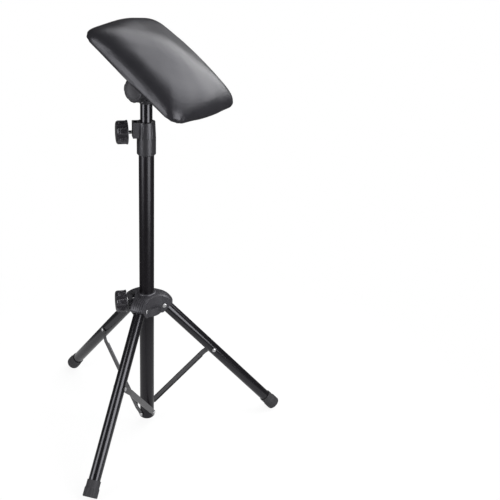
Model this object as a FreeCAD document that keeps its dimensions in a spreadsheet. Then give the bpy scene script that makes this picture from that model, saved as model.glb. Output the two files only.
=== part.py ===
import FreeCAD, Part
import math
import os
import Sketcher

# Tattoo arm rest stand: a folding tripod with a height adjustable post and a tilting padded rest.
# Origin: centre of the flat underside of the column's bottom plug. +Z runs up the column, one leg
# points along +X, and the two clamp knobs of the column point along -X. Lengths are millimetres.

SIZES = {
    # column, its plug and the post that slides in it
    "column_od": 32.0,
    "column_wall": 1.5,
    "column_length": 675.0,
    "plug_flange": 3.0,
    "plug_spigot": 14.0,
    "plug_wall": 2.0,
    "post_od": 25.0,
    "post_wall": 1.5,
    "post_length": 546.0,
    "bush_height": 9.0,
    "bush_spigot": 12.0,
    "bush_bore": 16.0,
    # clearances
    "slide_fit": 0.05,
    "turn_fit": 0.06,
    "face_gap": 0.1,
    "free_gap": 0.3,
    "cut_overrun": 5.0,
    # clamp collar on top of the column
    "collar_od": 39.5,
    "collar_top_od": 36.5,
    "collar_height": 70.0,
    "collar_grip": 36.0,
    "collar_chamfer": 2.0,
    "collar_boss_height": 33.0,
    "collar_boss_width": 21.0,
    "collar_boss_reach": 28.5,
    "collar_screw_drop": 22.0,
    "collar_screw_show": 10.0,
    "flute_radius": 2.9,
    "flute_depth": 1.2,
    # clamp screws, their nuts and the shoes that they press on the tubes
    "screw_od": 8.0,
    "screw_hole": 8.6,
    "screw_grip": 9.0,
    "nut_flats": 13.0,
    "nut_height": 6.5,
    "nut_cover": 2.8,
    "shoe_od": 10.0,
    "shoe_thick": 3.0,
    # clamp knobs, side and tilt
    "knob_od": 48.0,
    "knob_height": 23.5,
    "knob_flange": 3.0,
    "knob_flange_step": 0.8,
    "knob_crown": 5.0,
    "knob_disc_od": 34.0,
    "knob_ring_width": 1.0,
    "knob_ring_depth": 0.7,
    "knob_dish": 0.8,
    "knob_scallop_radius": 7.5,
    "knob_scallop_depth": 1.2,
    "knob_scallop_lean": 5.0,
    "knob_rib_groove": 0.55,
    "knob_rib_angle": 4.6,
    "knob_hollow_od": 30.0,
    "knob_hollow_depth": 2.0,
    "tilt_knob_od": 50.0,
    "tilt_knob_height": 23.0,
    # spider hub
    "hub_pivot_height": 295.5,
    "hub_pivot_radius": 37.0,
    "hub_drum_od": 66.0,
    "hub_under": 17.0,
    "hub_lobe_top": 2.0,
    "hub_neck_od": 41.0,
    "hub_bead_height": 28.5,
    "hub_bead_radius": 2.2,
    "hub_arm_width": 32.0,
    "hub_cheek": 3.2,
    "hub_cap": 3.4,
    "hub_tip_radius": 57.0,
    "hub_tip_height": 8.0,
    "hub_tip_face": 3.0,
    "hub_shoulder_radius": 42.0,
    "hub_shoulder_height": 21.9,
    "hub_crown_radius": 22.0,
    "hub_crown_height": 27.0,
    "hub_heel_radius": 38.0,
    "hub_corner_radius": 32.0,
    "hub_waist_radius": 27.5,
    "hub_sleeve_wall": 4.4,
    "hub_groove_width": 1.3,
    "hub_groove_depth": 1.0,
    "hub_groove_pitch": 4.6,
    "hub_boss_reach": 40.0,
    "hub_boss_width": 22.0,
    "hub_boss_top": 18.5,
    "hub_boss_bottom": 6.0,
    "hub_screw_height": 10.0,
    "hub_screw_show": 5.0,
    "hub_nut_cover": 7.0,
    # rivets
    "pivot_rivet_od": 6.0,
    "pivot_rivet_bore": 3.6,
    "rivet_head_od": 9.5,
    "rivet_head_height": 1.3,
    "brace_rivet_od": 5.0,
    "brace_rivet_head_od": 8.6,
    # legs and feet
    "leg_od": 25.0,
    "leg_wall": 1.2,
    "leg_reach": 403.0,
    "leg_stub": 9.0,
    "leg_lean": 42.33,
    "foot_od": 31.0,
    "foot_height": 35.0,
    "foot_sole": 6.0,
    "foot_lip": 3.0,
    "foot_top_od": 28.6,
    "foot_sole_round": 2.0,
    "foot_flute_radius": 2.4,
    "foot_flute_depth": 0.9,
    "foot_flute_height": 18.0,
    # braces
    "brace_down_leg": 173.0,
    "brace_foot_height": 9.9,
    "brace_width": 13.0,
    "brace_thick": 1.5,
    "brace_flange": 2.0,
    "brace_flange_margin": 24.0,
    "brace_lug": 9.0,
    "brace_slope": 9.0,
    "brace_small_hole": 3.0,
    "brace_small_hole_along": 21.0,
    # tilt head
    "head_turn": -47.7,
    "tilt_height": 782.0,
    "tilt_angle": 31.0,
    "neck_disc_od": 44.0,
    "neck_disc_width": 20.0,
    "neck_drop": 32.0,
    "neck_socket": 6.0,
    "neck_spigot": 26.0,
    "neck_spigot_bore": 16.0,
    "neck_rim_od": 28.4,
    "neck_root_od": 34.0,
    "neck_root_drop": 18.0,
    "neck_pin_od": 3.0,
    "neck_pin_drop": 29.0,
    "ear_thick": 6.2,
    "ear_disc_od": 46.0,
    "ear_waist_width": 29.0,
    "ear_foot_width": 37.0,
    "ear_waist_height": 30.0,
    "plate_length": 112.0,
    "plate_width": 58.0,
    "plate_thick": 3.0,
    "plate_corner": 9.0,
    "bolt_head_recess": 4.0,
    "bolt_head_height": 5.3,
    "washer_od": 24.0,
    "washer_thick": 2.0,
    "insert_od": 12.0,
    "insert_length": 14.0,
    "bolt_reach": 12.0,
    # thumb screw that holds the pad on the plate
    "thumb_offset": 47.0,
    "thumb_od": 22.0,
    "thumb_height": 18.0,
    "thumb_neck_od": 9.0,
    "thumb_neck_height": 2.6,
    "thumb_washer_od": 14.0,
    "thumb_washer_thick": 1.2,
    "thumb_screw_od": 6.0,
    "thumb_hole": 6.8,
    "thumb_screw_grip": 10.0,
    "thumb_groove_radius": 0.7,
    "thumb_round": 2.5,
    "tee_nut_barrel_od": 8.4,
    "tee_nut_flange_od": 17.0,
    "tee_nut_flange_thick": 1.4,
    # keeper that hooks the other end of the plate
    "keeper_width": 40.0,
    "keeper_thick": 2.0,
    "keeper_lap": 9.0,
    "keeper_foot": 20.0,
    "keeper_screw_od": 4.0,
    "keeper_screw_head_od": 8.0,
    "keeper_screw_head": 2.2,
    "keeper_screw_pitch": 24.0,
    # pad
    "pad_seat": 44.7,
    "pad_length": 281.0,
    "pad_width": 212.0,
    "pad_thick": 60.0,
    "pad_shift_along": 6.5,
    "pad_shift_across": 8.5,
    "pad_corner": 40.0,
    "pad_bow": 5.0,
    "cover_thick": 1.2,
    "board_thick": 12.0,
    "board_margin": 14.0,
    "board_corner": 34.0,
    "window_margin": 33.0,
    "cloth_thick": 0.6,
}

# Heights through the cushion, and how far its sides and ends are drawn in there, as shares of the
# pad's thickness, half width and half length.
CUSHION_SHARES = (
    (0.0, 0.04, 0.03),
    (0.03, 0.012, 0.009),
    (0.08, 0.0, 0.0),
    (0.2, 0.008, 0.006),
    (0.33, 0.048, 0.037),
    (0.43, 0.095, 0.072),
    (0.53, 0.155, 0.118),
    (0.62, 0.228, 0.175),
    (0.69, 0.31, 0.24),
    (0.745, 0.405, 0.325),
    (0.8, 0.5, 0.42),
    (0.868, 0.61, 0.55),
    (0.931, 0.72, 0.68),
    (0.975, 0.83, 0.81),
    (0.995, 0.93, 0.92),
)
TOP_CORNER_SHARE = 0.85
TOP_BOW_SHARE = 0.12

# Directions of the three legs, and how many of each repeated form a piece has.
AZIMUTHS = (0, 120, 240)
COLLAR_FLUTES = 12
KNOB_SCALLOPS = 8
KNOB_RIBS = 5
HUB_GROOVES = 5
FOOT_FLUTES = 12
THUMB_GROOVES = 24


class Size:
    """A number that keeps the sheet expression it comes from."""

    def __init__(self, value, text):
        self.value = value
        self.text = text

    def __add__(self, other):
        other = as_size(other)
        return Size(self.value + other.value, f"({self.text} + {other.text})")

    def __radd__(self, other):
        return as_size(other) + self

    def __sub__(self, other):
        other = as_size(other)
        return Size(self.value - other.value, f"({self.text} - {other.text})")

    def __rsub__(self, other):
        return as_size(other) - self

    def __mul__(self, other):
        other = as_size(other)
        return Size(self.value * other.value, f"({self.text} * {other.text})")

    def __rmul__(self, other):
        return as_size(other) * self

    def __truediv__(self, other):
        other = as_size(other)
        return Size(self.value / other.value, f"({self.text} / {other.text})")

    def __neg__(self):
        return Size(-self.value, f"(0 - {self.text})")


def as_size(number):
    return number if isinstance(number, Size) else Size(float(number), repr(number))


def root(number):
    return Size(math.sqrt(number.value), f"sqrt({number.text})")


def sine(angle):
    return Size(math.sin(math.radians(angle.value)), f"sin({angle.text})")


def cosine(angle):
    return Size(math.cos(math.radians(angle.value)), f"cos({angle.text})")


def angle_of(rise, run):
    """Angle whose tangent is rise over run, in degrees."""
    return Size(math.degrees(math.atan2(rise.value, run.value)), f"(atan({rise.text} / {run.text}) / 1 deg)")


doc = FreeCAD.newDocument("ArmRestStand")
sheet = doc.addObject("Spreadsheet::Sheet", "Sizes")
for row, (alias, number) in enumerate(SIZES.items(), start=1):
    sheet.set(f"A{row}", alias.replace("_", " "))
    sheet.set(f"B{row}", str(number))
    sheet.setAlias(f"B{row}", alias)
doc.recompute()


class Named:
    """The sheet's cells by name, such as size.column_od."""

    def __getattr__(self, alias):
        return Size(SIZES[alias], f"Sizes.{alias}")


size = Named()
ZERO = as_size(0)
subparts = []


def bind(thing, prop, number):
    """Sets a property to a size, and ties it to the sheet where the size comes from there."""
    number = as_size(number)
    if "Sizes." in number.text:
        thing.setExpression(prop, number.text)
    else:
        thing.setExpression(prop, None)
        if "." not in prop:
            setattr(thing, prop, number.value)


def move(x=ZERO, y=ZERO, z=ZERO):
    spot = "; ".join(as_size(number).text for number in (x, y, z))
    still = "create(<<rotation>>; create(<<vector>>; 0; 0; 1); 0)"
    return f"create(<<placement>>; create(<<vector>>; {spot}); {still})"


def turn(axis, angle):
    ends = {"X": "1; 0; 0", "Y": "0; 1; 0", "Z": "0; 0; 1"}[axis]
    spin = f"create(<<rotation>>; create(<<vector>>; {ends}); {as_size(angle).text})"
    return f"create(<<placement>>; create(<<vector>>; 0; 0; 0); {spin})"


def place(thing, *steps):
    """Places a piece by moves and turns, the last of them nearest the piece."""
    thing.setExpression("Placement", " * ".join(steps))


def new_body(label):
    body = doc.addObject("PartDesign::Body", label)
    body.Label = label
    return body


def origin_feature(body, role):
    return next(feature for feature in body.Origin.OriginFeatures if feature.Role == role)


def new_sketch(body, name, plane, lift=None, lean=None):
    """Sketch on a plane of the body's origin, lifted along its normal and leaned about its Y axis."""
    sketch = body.newObject("Sketcher::SketchObject", f"{body.Name}_{name}")
    sketch.AttachmentSupport = [(origin_feature(body, plane), "")]
    sketch.MapMode = "FlatFace"
    if lean is not None:
        about_y = FreeCAD.Rotation(FreeCAD.Vector(0, 1, 0), 1)
        sketch.AttachmentOffset = FreeCAD.Placement(FreeCAD.Vector(), about_y)
        bind(sketch, "AttachmentOffset.Rotation.Angle", lean)
    if lift is not None:
        bind(sketch, "AttachmentOffset.Base.z", lift)
    return sketch


def flat_point(point):
    return FreeCAD.Vector(as_size(point[0]).value, as_size(point[1]).value, 0)


def fix_point(sketch, geometry, corner, point):
    """Holds a corner of the sketch at its x and y, tied to the sheet."""
    for kind, coordinate in zip(("DistanceX", "DistanceY"), point):
        coordinate = as_size(coordinate)
        index = sketch.addConstraint(Sketcher.Constraint(kind, -1, 1, geometry, corner, coordinate.value))
        if "Sizes." in coordinate.text:
            sketch.setExpression(f"Constraints[{index}]", coordinate.text)


def arc_through(start, middle, end):
    """Anticlockwise arc through three points, and which of its ends is the start."""
    centre = Part.Circle(start, middle, end).Center
    radius = centre.distanceToPoint(start)
    angles = [math.atan2(point.y - centre.y, point.x - centre.x) for point in (start, middle, end)]
    full = 2 * math.pi
    forward = (angles[1] - angles[0]) % full < (angles[2] - angles[0]) % full
    first, last = (angles[0], angles[2]) if forward else (angles[2], angles[0])
    round_line = Part.Circle(centre, FreeCAD.Vector(0, 0, 1), radius)
    arc = Part.ArcOfCircle(round_line, first, first + (last - first) % full)
    return arc, (1, 2) if forward else (2, 1)


def outline(sketch, start, *steps):
    """Closed run of lines and arcs. A step is a point, or a middle and an end point of an arc."""
    runs = []
    spot = start
    for step in steps:
        if isinstance(step[0], tuple):
            arc, ends = arc_through(flat_point(spot), flat_point(step[0]), flat_point(step[1]))
            runs.append((sketch.addGeometry(arc), ends, spot))
            middle = sketch.addGeometry(Part.Point(flat_point(step[0])), True)
            fix_point(sketch, middle, 1, step[0])
            sketch.addConstraint(Sketcher.Constraint("PointOnObject", middle, 1, runs[-1][0]))
            spot = step[1]
        else:
            line = sketch.addGeometry(Part.LineSegment(flat_point(spot), flat_point(step)))
            runs.append((line, (1, 2), spot))
            spot = step
    if flat_point(spot) != flat_point(start):
        line = sketch.addGeometry(Part.LineSegment(flat_point(spot), flat_point(start)))
        runs.append((line, (1, 2), spot))
    for index, (geometry, ends, spot) in enumerate(runs):
        before, before_ends, _ = runs[index - 1]
        sketch.addConstraint(Sketcher.Constraint("Coincident", before, before_ends[1], geometry, ends[0]))
        fix_point(sketch, geometry, ends[0], spot)


def circle(sketch, x, y, radius):
    radius = as_size(radius)
    round_line = Part.Circle(flat_point((x, y)), FreeCAD.Vector(0, 0, 1), radius.value)
    geometry = sketch.addGeometry(round_line)
    fix_point(sketch, geometry, 3, (x, y))
    index = sketch.addConstraint(Sketcher.Constraint("Radius", geometry, radius.value))
    sketch.setExpression(f"Constraints[{index}]", radius.text)


def rectangle(sketch, low_x, low_y, high_x, high_y):
    outline(sketch, (low_x, low_y), (high_x, low_y), (high_x, high_y), (low_x, high_y))


def extrude(body, kind, sketch, length, both=False, back=False):
    """Pad or Pocket: along the sketch's normal, against it, or half to each side."""
    feature = body.newObject(f"PartDesign::{kind}", f"{sketch.Name}_{kind}")
    feature.Profile = sketch
    bind(feature, "Length", length)
    if both:
        feature.Midplane = True
    else:
        feature.Reversed = back if kind == "Pad" else not back
    return feature


def revolve(body, sketch, kind="Revolution"):
    """Turns a profile, drawn as radius and height, once about the body's Z axis."""
    feature = body.newObject(f"PartDesign::{kind}", f"{sketch.Name}_{kind}")
    feature.Profile = sketch
    feature.ReferenceAxis = (sketch, ["V_Axis"])
    feature.Angle = 360
    return feature


def polar(body, features, count):
    pattern = body.newObject("PartDesign::PolarPattern", f"{features[-1].Name}_round")
    pattern.Originals = features
    pattern.Axis = (origin_feature(body, "Z_Axis"), [""])
    pattern.Angle = 360
    pattern.Occurrences = count
    body.Tip = pattern
    return pattern


def keep(thing, label=None):
    """Counts a finished object as a sub-part."""
    if label:
        thing.Label = label
    subparts.append(thing)
    return thing


def tube(label, outer, wall, length):
    """Straight tube from its own origin up its Z axis."""
    body = new_body(label)
    ring = new_sketch(body, "ring", "XY_Plane")
    circle(ring, 0, 0, outer / 2)
    circle(ring, 0, 0, outer / 2 - wall)
    extrude(body, "Pad", ring, length)
    return body


def cross_hole(body, name, height, bore, length, back=False, both=True, along=ZERO):
    """Hole through a body along its Y axis, at a height on its Z axis."""
    spot = new_sketch(body, name, "XZ_Plane")
    circle(spot, along, height, bore / 2)
    return extrude(body, "Pocket", spot, length, both=both, back=back)


# The column: a painted steel tube, closed at the bottom by a plug, with the holes of the three
# blind rivets that carry the braces near its bottom.
column = tube("column_tube", size.column_od, size.column_wall, size.column_length)
place(column, move(z=size.plug_flange))
rivet_hole = cross_hole(column, "rivet_hole", size.brace_foot_height - size.plug_flange,
                        size.brace_rivet_od + size.free_gap, size.column_od, back=True, both=False)
polar(column, [rivet_hole], len(AZIMUTHS))
keep(column)
column_top = size.plug_flange + size.column_length

# The plug: a moulded cap with a rounded flange below the tube and a hollow spigot inside it.
plug = new_body("column_plug")
plug_radius = size.column_od / 2
plug_flat = plug_radius - size.plug_flange
spigot_radius = plug_radius - size.column_wall - size.slide_fit
section = new_sketch(plug, "section", "XZ_Plane")
CORNER_SHARE = 1 - math.sqrt(0.5)
outline(section, (0, 0), (plug_flat, 0),
        ((plug_radius - size.plug_flange * CORNER_SHARE, size.plug_flange * CORNER_SHARE),
         (plug_radius, size.plug_flange)),
        (spigot_radius, size.plug_flange),
        (spigot_radius, size.plug_flange + size.plug_spigot),
        (spigot_radius - size.plug_wall, size.plug_flange + size.plug_spigot),
        (spigot_radius - size.plug_wall, size.plug_flange),
        (0, size.plug_flange))
revolve(plug, section)
keep(plug)


def clamp_nut(label, flats, height, bore, radial, lift):
    """Hexagon nut on the clamp screw's line, a flat side up, its inner face at a radius on -X."""
    prism = doc.addObject("Part::Prism", f"{label}_prism")
    prism.Polygon = 6
    bind(prism, "Circumradius", flats / math.sqrt(3))
    bind(prism, "Height", height)
    core = doc.addObject("Part::Cylinder", f"{label}_core")
    bind(core, "Radius", bore)
    bind(core, "Height", height)
    nut = doc.addObject("Part::Cut", label)
    nut.Base = prism
    nut.Tool = core
    place(nut, move(-radial, 0, lift), turn("Y", -90))
    return keep(nut, label)


def clamp_shoe(label, tube_radius, lift):
    """Round shoe that the clamp screw pushes against a tube; its face is hollowed to the tube."""
    body = new_body(label)
    disc = new_sketch(body, "disc", "XY_Plane")
    circle(disc, 0, 0, size.shoe_od / 2)
    extrude(body, "Pad", disc, tube_radius + size.face_gap + size.shoe_thick)
    seat = new_sketch(body, "seat", "YZ_Plane")
    circle(seat, 0, 0, tube_radius + size.face_gap)
    extrude(body, "Pocket", seat, size.shoe_od + size.cut_overrun, both=True)
    place(body, move(0, 0, lift), turn("Y", -90))
    return keep(body)


def clamp_screw(label, start, end, lift):
    """Plain shank of a clamp screw, along -X between two radii."""
    shank = doc.addObject("Part::Cylinder", label)
    bind(shank, "Radius", size.screw_od / 2)
    bind(shank, "Height", end - start)
    place(shank, move(-start, 0, lift), turn("Y", -90))
    return keep(shank, label)


def knob(label, outer, height, bore, bore_depth):
    """Moulded knob: flange, grip with scallops and groups of fine ribs, rounded and ringed face.

    The scallops lean in toward the face and run out through its rounded rim.
    """
    body = new_body(label)
    radius = outer / 2
    flange_radius = radius + size.knob_flange_step
    disc = size.knob_disc_od / 2
    crown = size.knob_crown
    section = new_sketch(body, "section", "XZ_Plane")
    outline(section, (0, 0), (flange_radius, 0), (flange_radius, size.knob_flange),
            (radius, size.knob_flange), (radius, height - crown),
            ((radius - crown * CORNER_SHARE, height - crown * CORNER_SHARE), (radius - crown, height)),
            (disc + size.knob_ring_width, height),
            (disc + size.knob_ring_width, height - size.knob_ring_depth),
            (disc, height - size.knob_ring_depth), (disc, height),
            ((disc / 2, height - size.knob_dish * 3 / 4), (0, height - size.knob_dish)))
    revolve(body, section)
    grip = height - crown - size.knob_flange
    dip = radius - size.knob_scallop_depth
    scallop_base = size.knob_flange - dip * sine(size.knob_scallop_lean)
    scallop = new_sketch(body, "scallop", "XY_Plane", lift=scallop_base, lean=-size.knob_scallop_lean)
    circle(scallop, dip + size.knob_scallop_radius, 0, size.knob_scallop_radius)
    dents = extrude(body, "Pocket", scallop, height)
    grooves = new_sketch(body, "grooves", "XY_Plane", lift=size.knob_flange)
    half_turn = 180 / KNOB_SCALLOPS
    for index in range(KNOB_RIBS + 1):
        spot = as_size(half_turn) + size.knob_rib_angle * (index - KNOB_RIBS / 2)
        circle(grooves, radius * cosine(spot), radius * sine(spot), size.knob_rib_groove)
    ribs_cut = extrude(body, "Pocket", grooves, grip)
    polar(body, [dents, ribs_cut], KNOB_SCALLOPS)
    hollow = new_sketch(body, "hollow", "XY_Plane")
    circle(hollow, 0, 0, size.knob_hollow_od / 2)
    circle(hollow, 0, 0, size.nut_flats / 2 + size.nut_cover)
    extrude(body, "Pocket", hollow, size.knob_hollow_depth)
    hole = new_sketch(body, "bore", "XY_Plane")
    circle(hole, 0, 0, bore)
    extrude(body, "Pocket", hole, bore_depth)
    return body


# The clamp collar: a plastic sleeve over the top of the column that guides the post. Its boss on
# the -X side holds the nut of the clamp screw in a pocket that is open at the top.
collar = new_body("clamp_collar")
collar_radius = size.collar_od / 2
collar_top_radius = size.collar_top_od / 2
flutes_start = size.collar_height - size.collar_boss_height
guide_radius = size.post_od / 2 + size.turn_fit
section = new_sketch(collar, "section", "XZ_Plane")
outline(section, (0, 0), (collar_radius - size.collar_chamfer, 0), (collar_radius, size.collar_chamfer),
        (collar_radius, flutes_start), (collar_top_radius, size.collar_height), (0, size.collar_height))
revolve(collar, section)
flute = new_sketch(collar, "flute", "XY_Plane", lift=flutes_start)
circle(flute, collar_radius + size.flute_radius - size.flute_depth, 0, size.flute_radius)
flute_cut = extrude(collar, "Pocket", flute, size.collar_boss_height + size.cut_overrun)
polar(collar, [flute_cut], COLLAR_FLUTES)
boss = new_sketch(collar, "boss", "XY_Plane", lift=flutes_start)
boss_half = size.collar_boss_width / 2
rectangle(boss, -size.collar_boss_reach, -boss_half, -size.post_od / 2, boss_half)
extrude(collar, "Pad", boss, size.collar_boss_height)
collar_screw_height = size.collar_height - size.collar_screw_drop
nut_inner = size.collar_boss_reach - size.nut_cover - size.nut_height - size.face_gap
nut_half = size.nut_flats / 2 + size.face_gap
nut_point = size.nut_flats / math.sqrt(3) + size.face_gap
slot = new_sketch(collar, "nut_slot", "XY_Plane", lift=collar_screw_height - nut_point)
rectangle(slot, -(size.collar_boss_reach - size.nut_cover), -nut_half, -(nut_inner - size.face_gap), nut_half)
extrude(collar, "Pocket", slot, size.collar_boss_height)
path = new_sketch(collar, "screw_path", "YZ_Plane")
circle(path, 0, collar_screw_height, size.screw_hole / 2)
extrude(collar, "Pocket", path, size.collar_boss_reach + size.cut_overrun, back=True)
path = new_sketch(collar, "shoe_path", "YZ_Plane")
circle(path, 0, collar_screw_height, size.shoe_od / 2 + size.face_gap)
extrude(collar, "Pocket", path, nut_inner - size.face_gap, back=True)
bore = new_sketch(collar, "guide", "XY_Plane")
circle(bore, 0, 0, guide_radius)
extrude(collar, "Pocket", bore, size.collar_height + size.cut_overrun)
bore = new_sketch(collar, "grip", "XY_Plane")
circle(bore, 0, 0, size.column_od / 2 + size.slide_fit)
extrude(collar, "Pocket", bore, size.collar_grip)
collar_height = column_top - size.collar_grip
place(collar, move(z=collar_height))
keep(collar)
collar_screw_level = collar_height + collar_screw_height
clamp_nut("collar_nut", size.nut_flats, size.nut_height, size.screw_od / 2 + size.slide_fit,
          nut_inner, collar_screw_level)
clamp_shoe("collar_shoe", size.post_od / 2, collar_screw_level)
knob_base = size.collar_boss_reach + size.collar_screw_show
shoe_back = size.post_od / 2 + size.face_gap + size.shoe_thick
clamp_screw("collar_screw", shoe_back + size.face_gap, knob_base + size.screw_grip, collar_screw_level)
collar_knob = knob("collar_knob", size.knob_od, size.knob_height, size.screw_od / 2, size.screw_grip)
place(collar_knob, move(-knob_base, 0, collar_screw_level), turn("Y", -90))
keep(collar_knob)


# The hub slides on the column and carries the three legs. Its top is one surface of revolution,
# trimmed to a three-armed plan: broad arms with hollowed sides between them, and a round drum below.
# The arms are hollow underneath so that the legs fold into them.
hub = new_body("hub_body")
tip = size.hub_tip_radius
far = tip + size.cut_overrun
drum = size.hub_drum_od / 2
arm_half = size.hub_arm_width / 2
under = -size.hub_under
sleeve_bore = size.column_od / 2 + size.turn_fit
sleeve = sleeve_bore + size.hub_sleeve_wall
bead_centre = size.hub_neck_od / 2 - size.hub_bead_radius
bead_slant = size.hub_bead_radius * math.sqrt(0.5)
crown = (size.hub_crown_radius, size.hub_crown_height)
shoulder = (size.hub_shoulder_radius, size.hub_shoulder_height)
section = new_sketch(hub, "section", "XZ_Plane")
outline(section, (0, under), (size.hub_heel_radius, under), (tip, size.hub_tip_height - size.hub_tip_face),
        (tip, size.hub_tip_height), (shoulder, crown), (size.hub_neck_od / 2, size.hub_crown_height),
        (size.hub_neck_od / 2, size.hub_bead_height),
        ((bead_centre + bead_slant, size.hub_bead_height + bead_slant),
         (bead_centre, size.hub_bead_height + size.hub_bead_radius)),
        (0, size.hub_bead_height + size.hub_bead_radius))
revolve(hub, section)


def between_arms(sketch, corner, waist):
    """Region between two arms: along an arm's side, round the waist and out along the next side."""
    third = as_size(120)
    sixth = as_size(60)
    outer_x = cosine(third) * far + sine(third) * arm_half
    outer_y = sine(third) * far - cosine(third) * arm_half
    inner_x = cosine(third) * corner + sine(third) * arm_half
    inner_y = sine(third) * corner - cosine(third) * arm_half
    outline(sketch, (far, arm_half), (corner, arm_half),
            ((waist * cosine(sixth), waist * sine(sixth)), (inner_x, inner_y)),
            (outer_x, outer_y), (2 * far * cosine(sixth), 2 * far * sine(sixth)))


gap = new_sketch(hub, "gap", "XY_Plane", lift=size.hub_lobe_top)
between_arms(gap, size.hub_corner_radius, size.hub_waist_radius)
upper_gap = extrude(hub, "Pocket", gap, size.hub_crown_height + size.cut_overrun)
polar(hub, [upper_gap], len(AZIMUTHS))
gap = new_sketch(hub, "drum_gap", "XY_Plane", lift=size.hub_lobe_top)
between_arms(gap, root(drum * drum - arm_half * arm_half), drum)
lower_gap = extrude(hub, "Pocket", gap, size.hub_under + size.hub_lobe_top + size.cut_overrun, back=True)
polar(hub, [lower_gap], len(AZIMUTHS))
well = new_sketch(hub, "leg_well", "XZ_Plane")
cap = size.hub_cap
outline(well, (sleeve, under - size.cut_overrun), (sleeve, size.hub_crown_height - cap - cap / 3),
        (size.hub_crown_radius + cap / 3, size.hub_crown_height - cap - cap / 3),
        ((size.hub_shoulder_radius - cap / 2, size.hub_shoulder_height - cap),
         (tip - cap, size.hub_tip_height)),
        (tip - cap, size.hub_tip_height - size.hub_tip_face - size.cut_overrun * 2),
        (far, under - size.cut_overrun))
leg_well = extrude(hub, "Pocket", well, size.hub_arm_width - size.hub_cheek * 2, both=True)
pivot_hole = cross_hole(hub, "pivot_hole", 0, size.pivot_rivet_od, size.hub_arm_width + size.cut_overrun,
                        along=size.hub_pivot_radius)
polar(hub, [leg_well, pivot_hole], len(AZIMUTHS))


# The boss of the hub's clamp screw, with a nut pocket that is open at the top.
boss = new_sketch(hub, "boss", "YZ_Plane")
boss_half = size.hub_boss_width / 2
rectangle(boss, -boss_half, -size.hub_boss_bottom, boss_half, size.hub_boss_top)
extrude(hub, "Pad", boss, size.hub_boss_reach, back=True)
hub_nut_outer = size.hub_boss_reach - size.hub_nut_cover
hub_nut_inner = hub_nut_outer - size.nut_height - size.face_gap
slot = new_sketch(hub, "nut_slot", "XY_Plane", lift=size.hub_screw_height - nut_point)
rectangle(slot, -hub_nut_outer, -nut_half, -(hub_nut_inner - size.face_gap), nut_half)
extrude(hub, "Pocket", slot, size.hub_crown_height + size.cut_overrun)
path = new_sketch(hub, "screw_path", "YZ_Plane")
circle(path, 0, size.hub_screw_height, size.screw_hole / 2)
extrude(hub, "Pocket", path, size.hub_boss_reach + size.cut_overrun, back=True)
path = new_sketch(hub, "shoe_path", "YZ_Plane")
circle(path, 0, size.hub_screw_height, size.shoe_od / 2 + size.face_gap)
extrude(hub, "Pocket", path, hub_nut_inner - size.face_gap, back=True)
bore = new_sketch(hub, "bore", "XY_Plane", lift=under - size.cut_overrun)
circle(bore, 0, 0, sleeve_bore)
extrude(hub, "Pocket", bore, size.hub_under + size.hub_bead_height + size.cut_overrun * 3)

# Five fine grooves run along the top of each arm, over its shoulder and out through its tip.
groove_cuts = []
groove_slant = size.hub_groove_depth * math.sqrt(0.5)
for index in range(HUB_GROOVES):
    offset = size.hub_groove_pitch * (index - (HUB_GROOVES - 1) / 2)
    groove = new_sketch(hub, f"groove_{index + 1}", "XZ_Plane", lift=offset)
    start_x = root(size.hub_crown_radius * size.hub_crown_radius - offset * offset)
    middle_x = root(size.hub_shoulder_radius * size.hub_shoulder_radius - offset * offset)
    end_x = root(tip * tip - offset * offset) - groove_slant
    outline(groove, (start_x, size.hub_crown_height - size.hub_groove_depth),
            ((middle_x - groove_slant / 2, size.hub_shoulder_height - size.hub_groove_depth),
             (end_x, size.hub_tip_height - groove_slant)),
            (end_x, size.hub_tip_height - size.hub_tip_face - size.cut_overrun),
            (far, size.hub_tip_height - size.hub_tip_face - size.cut_overrun),
            (far, size.hub_crown_height + size.cut_overrun),
            (start_x, size.hub_crown_height + size.cut_overrun))
    groove_cuts.append(extrude(hub, "Pocket", groove, size.hub_groove_width, both=True))
polar(hub, groove_cuts, len(AZIMUTHS))
place(hub, move(z=size.hub_pivot_height))
keep(hub)
hub_screw_level = size.hub_pivot_height + size.hub_screw_height
clamp_nut("hub_nut", size.nut_flats, size.nut_height, size.screw_od / 2 + size.slide_fit,
          hub_nut_inner, hub_screw_level)
clamp_shoe("hub_shoe", size.column_od / 2, hub_screw_level)
knob_base = size.hub_boss_reach + size.hub_screw_show
shoe_back = size.column_od / 2 + size.face_gap + size.shoe_thick
clamp_screw("hub_screw", shoe_back + size.face_gap, knob_base + size.screw_grip, hub_screw_level)
hub_knob = knob("hub_knob", size.knob_od, size.knob_height, size.screw_od / 2, size.screw_grip)
place(hub_knob, move(-knob_base, 0, hub_screw_level), turn("Y", -90))
keep(hub_knob)


def rivet(label, shank_od, bore, head_od, low, high):
    """Rivet along its own Z axis: round heads below and above its grip."""
    body = new_body(label)
    head = head_od / 2
    height = size.rivet_head_height
    edge = head - height * CORNER_SHARE
    slant = height * math.sqrt(0.5)
    section = new_sketch(body, "section", "XZ_Plane")
    outline(section, (bore, low - height), (head - height, low - height),
            ((edge, low - slant), (head, low)), (shank_od / 2, low), (shank_od / 2, high),
            (head, high), ((edge, high + slant), (head - height, high + height)), (bore, high + height))
    revolve(body, section)
    return body


def group(label, members):
    """Like pieces that share one node, each a solid of its own."""
    whole = doc.addObject("Part::Compound", label)
    whole.Links = members
    return keep(whole, label)


# Three tubular rivets are the leg pivots, across the cheeks of the hub's arms.
pivots = []
for number, azimuth in enumerate(AZIMUTHS, start=1):
    pivot = rivet(f"hub_rivet_{number}", size.pivot_rivet_od, size.pivot_rivet_bore / 2,
                  size.rivet_head_od, -arm_half, arm_half)
    place(pivot, turn("Z", azimuth), move(size.hub_pivot_radius, 0, size.hub_pivot_height), turn("X", -90))
    pivots.append(pivot)
group("hub_rivets", pivots)

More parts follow.
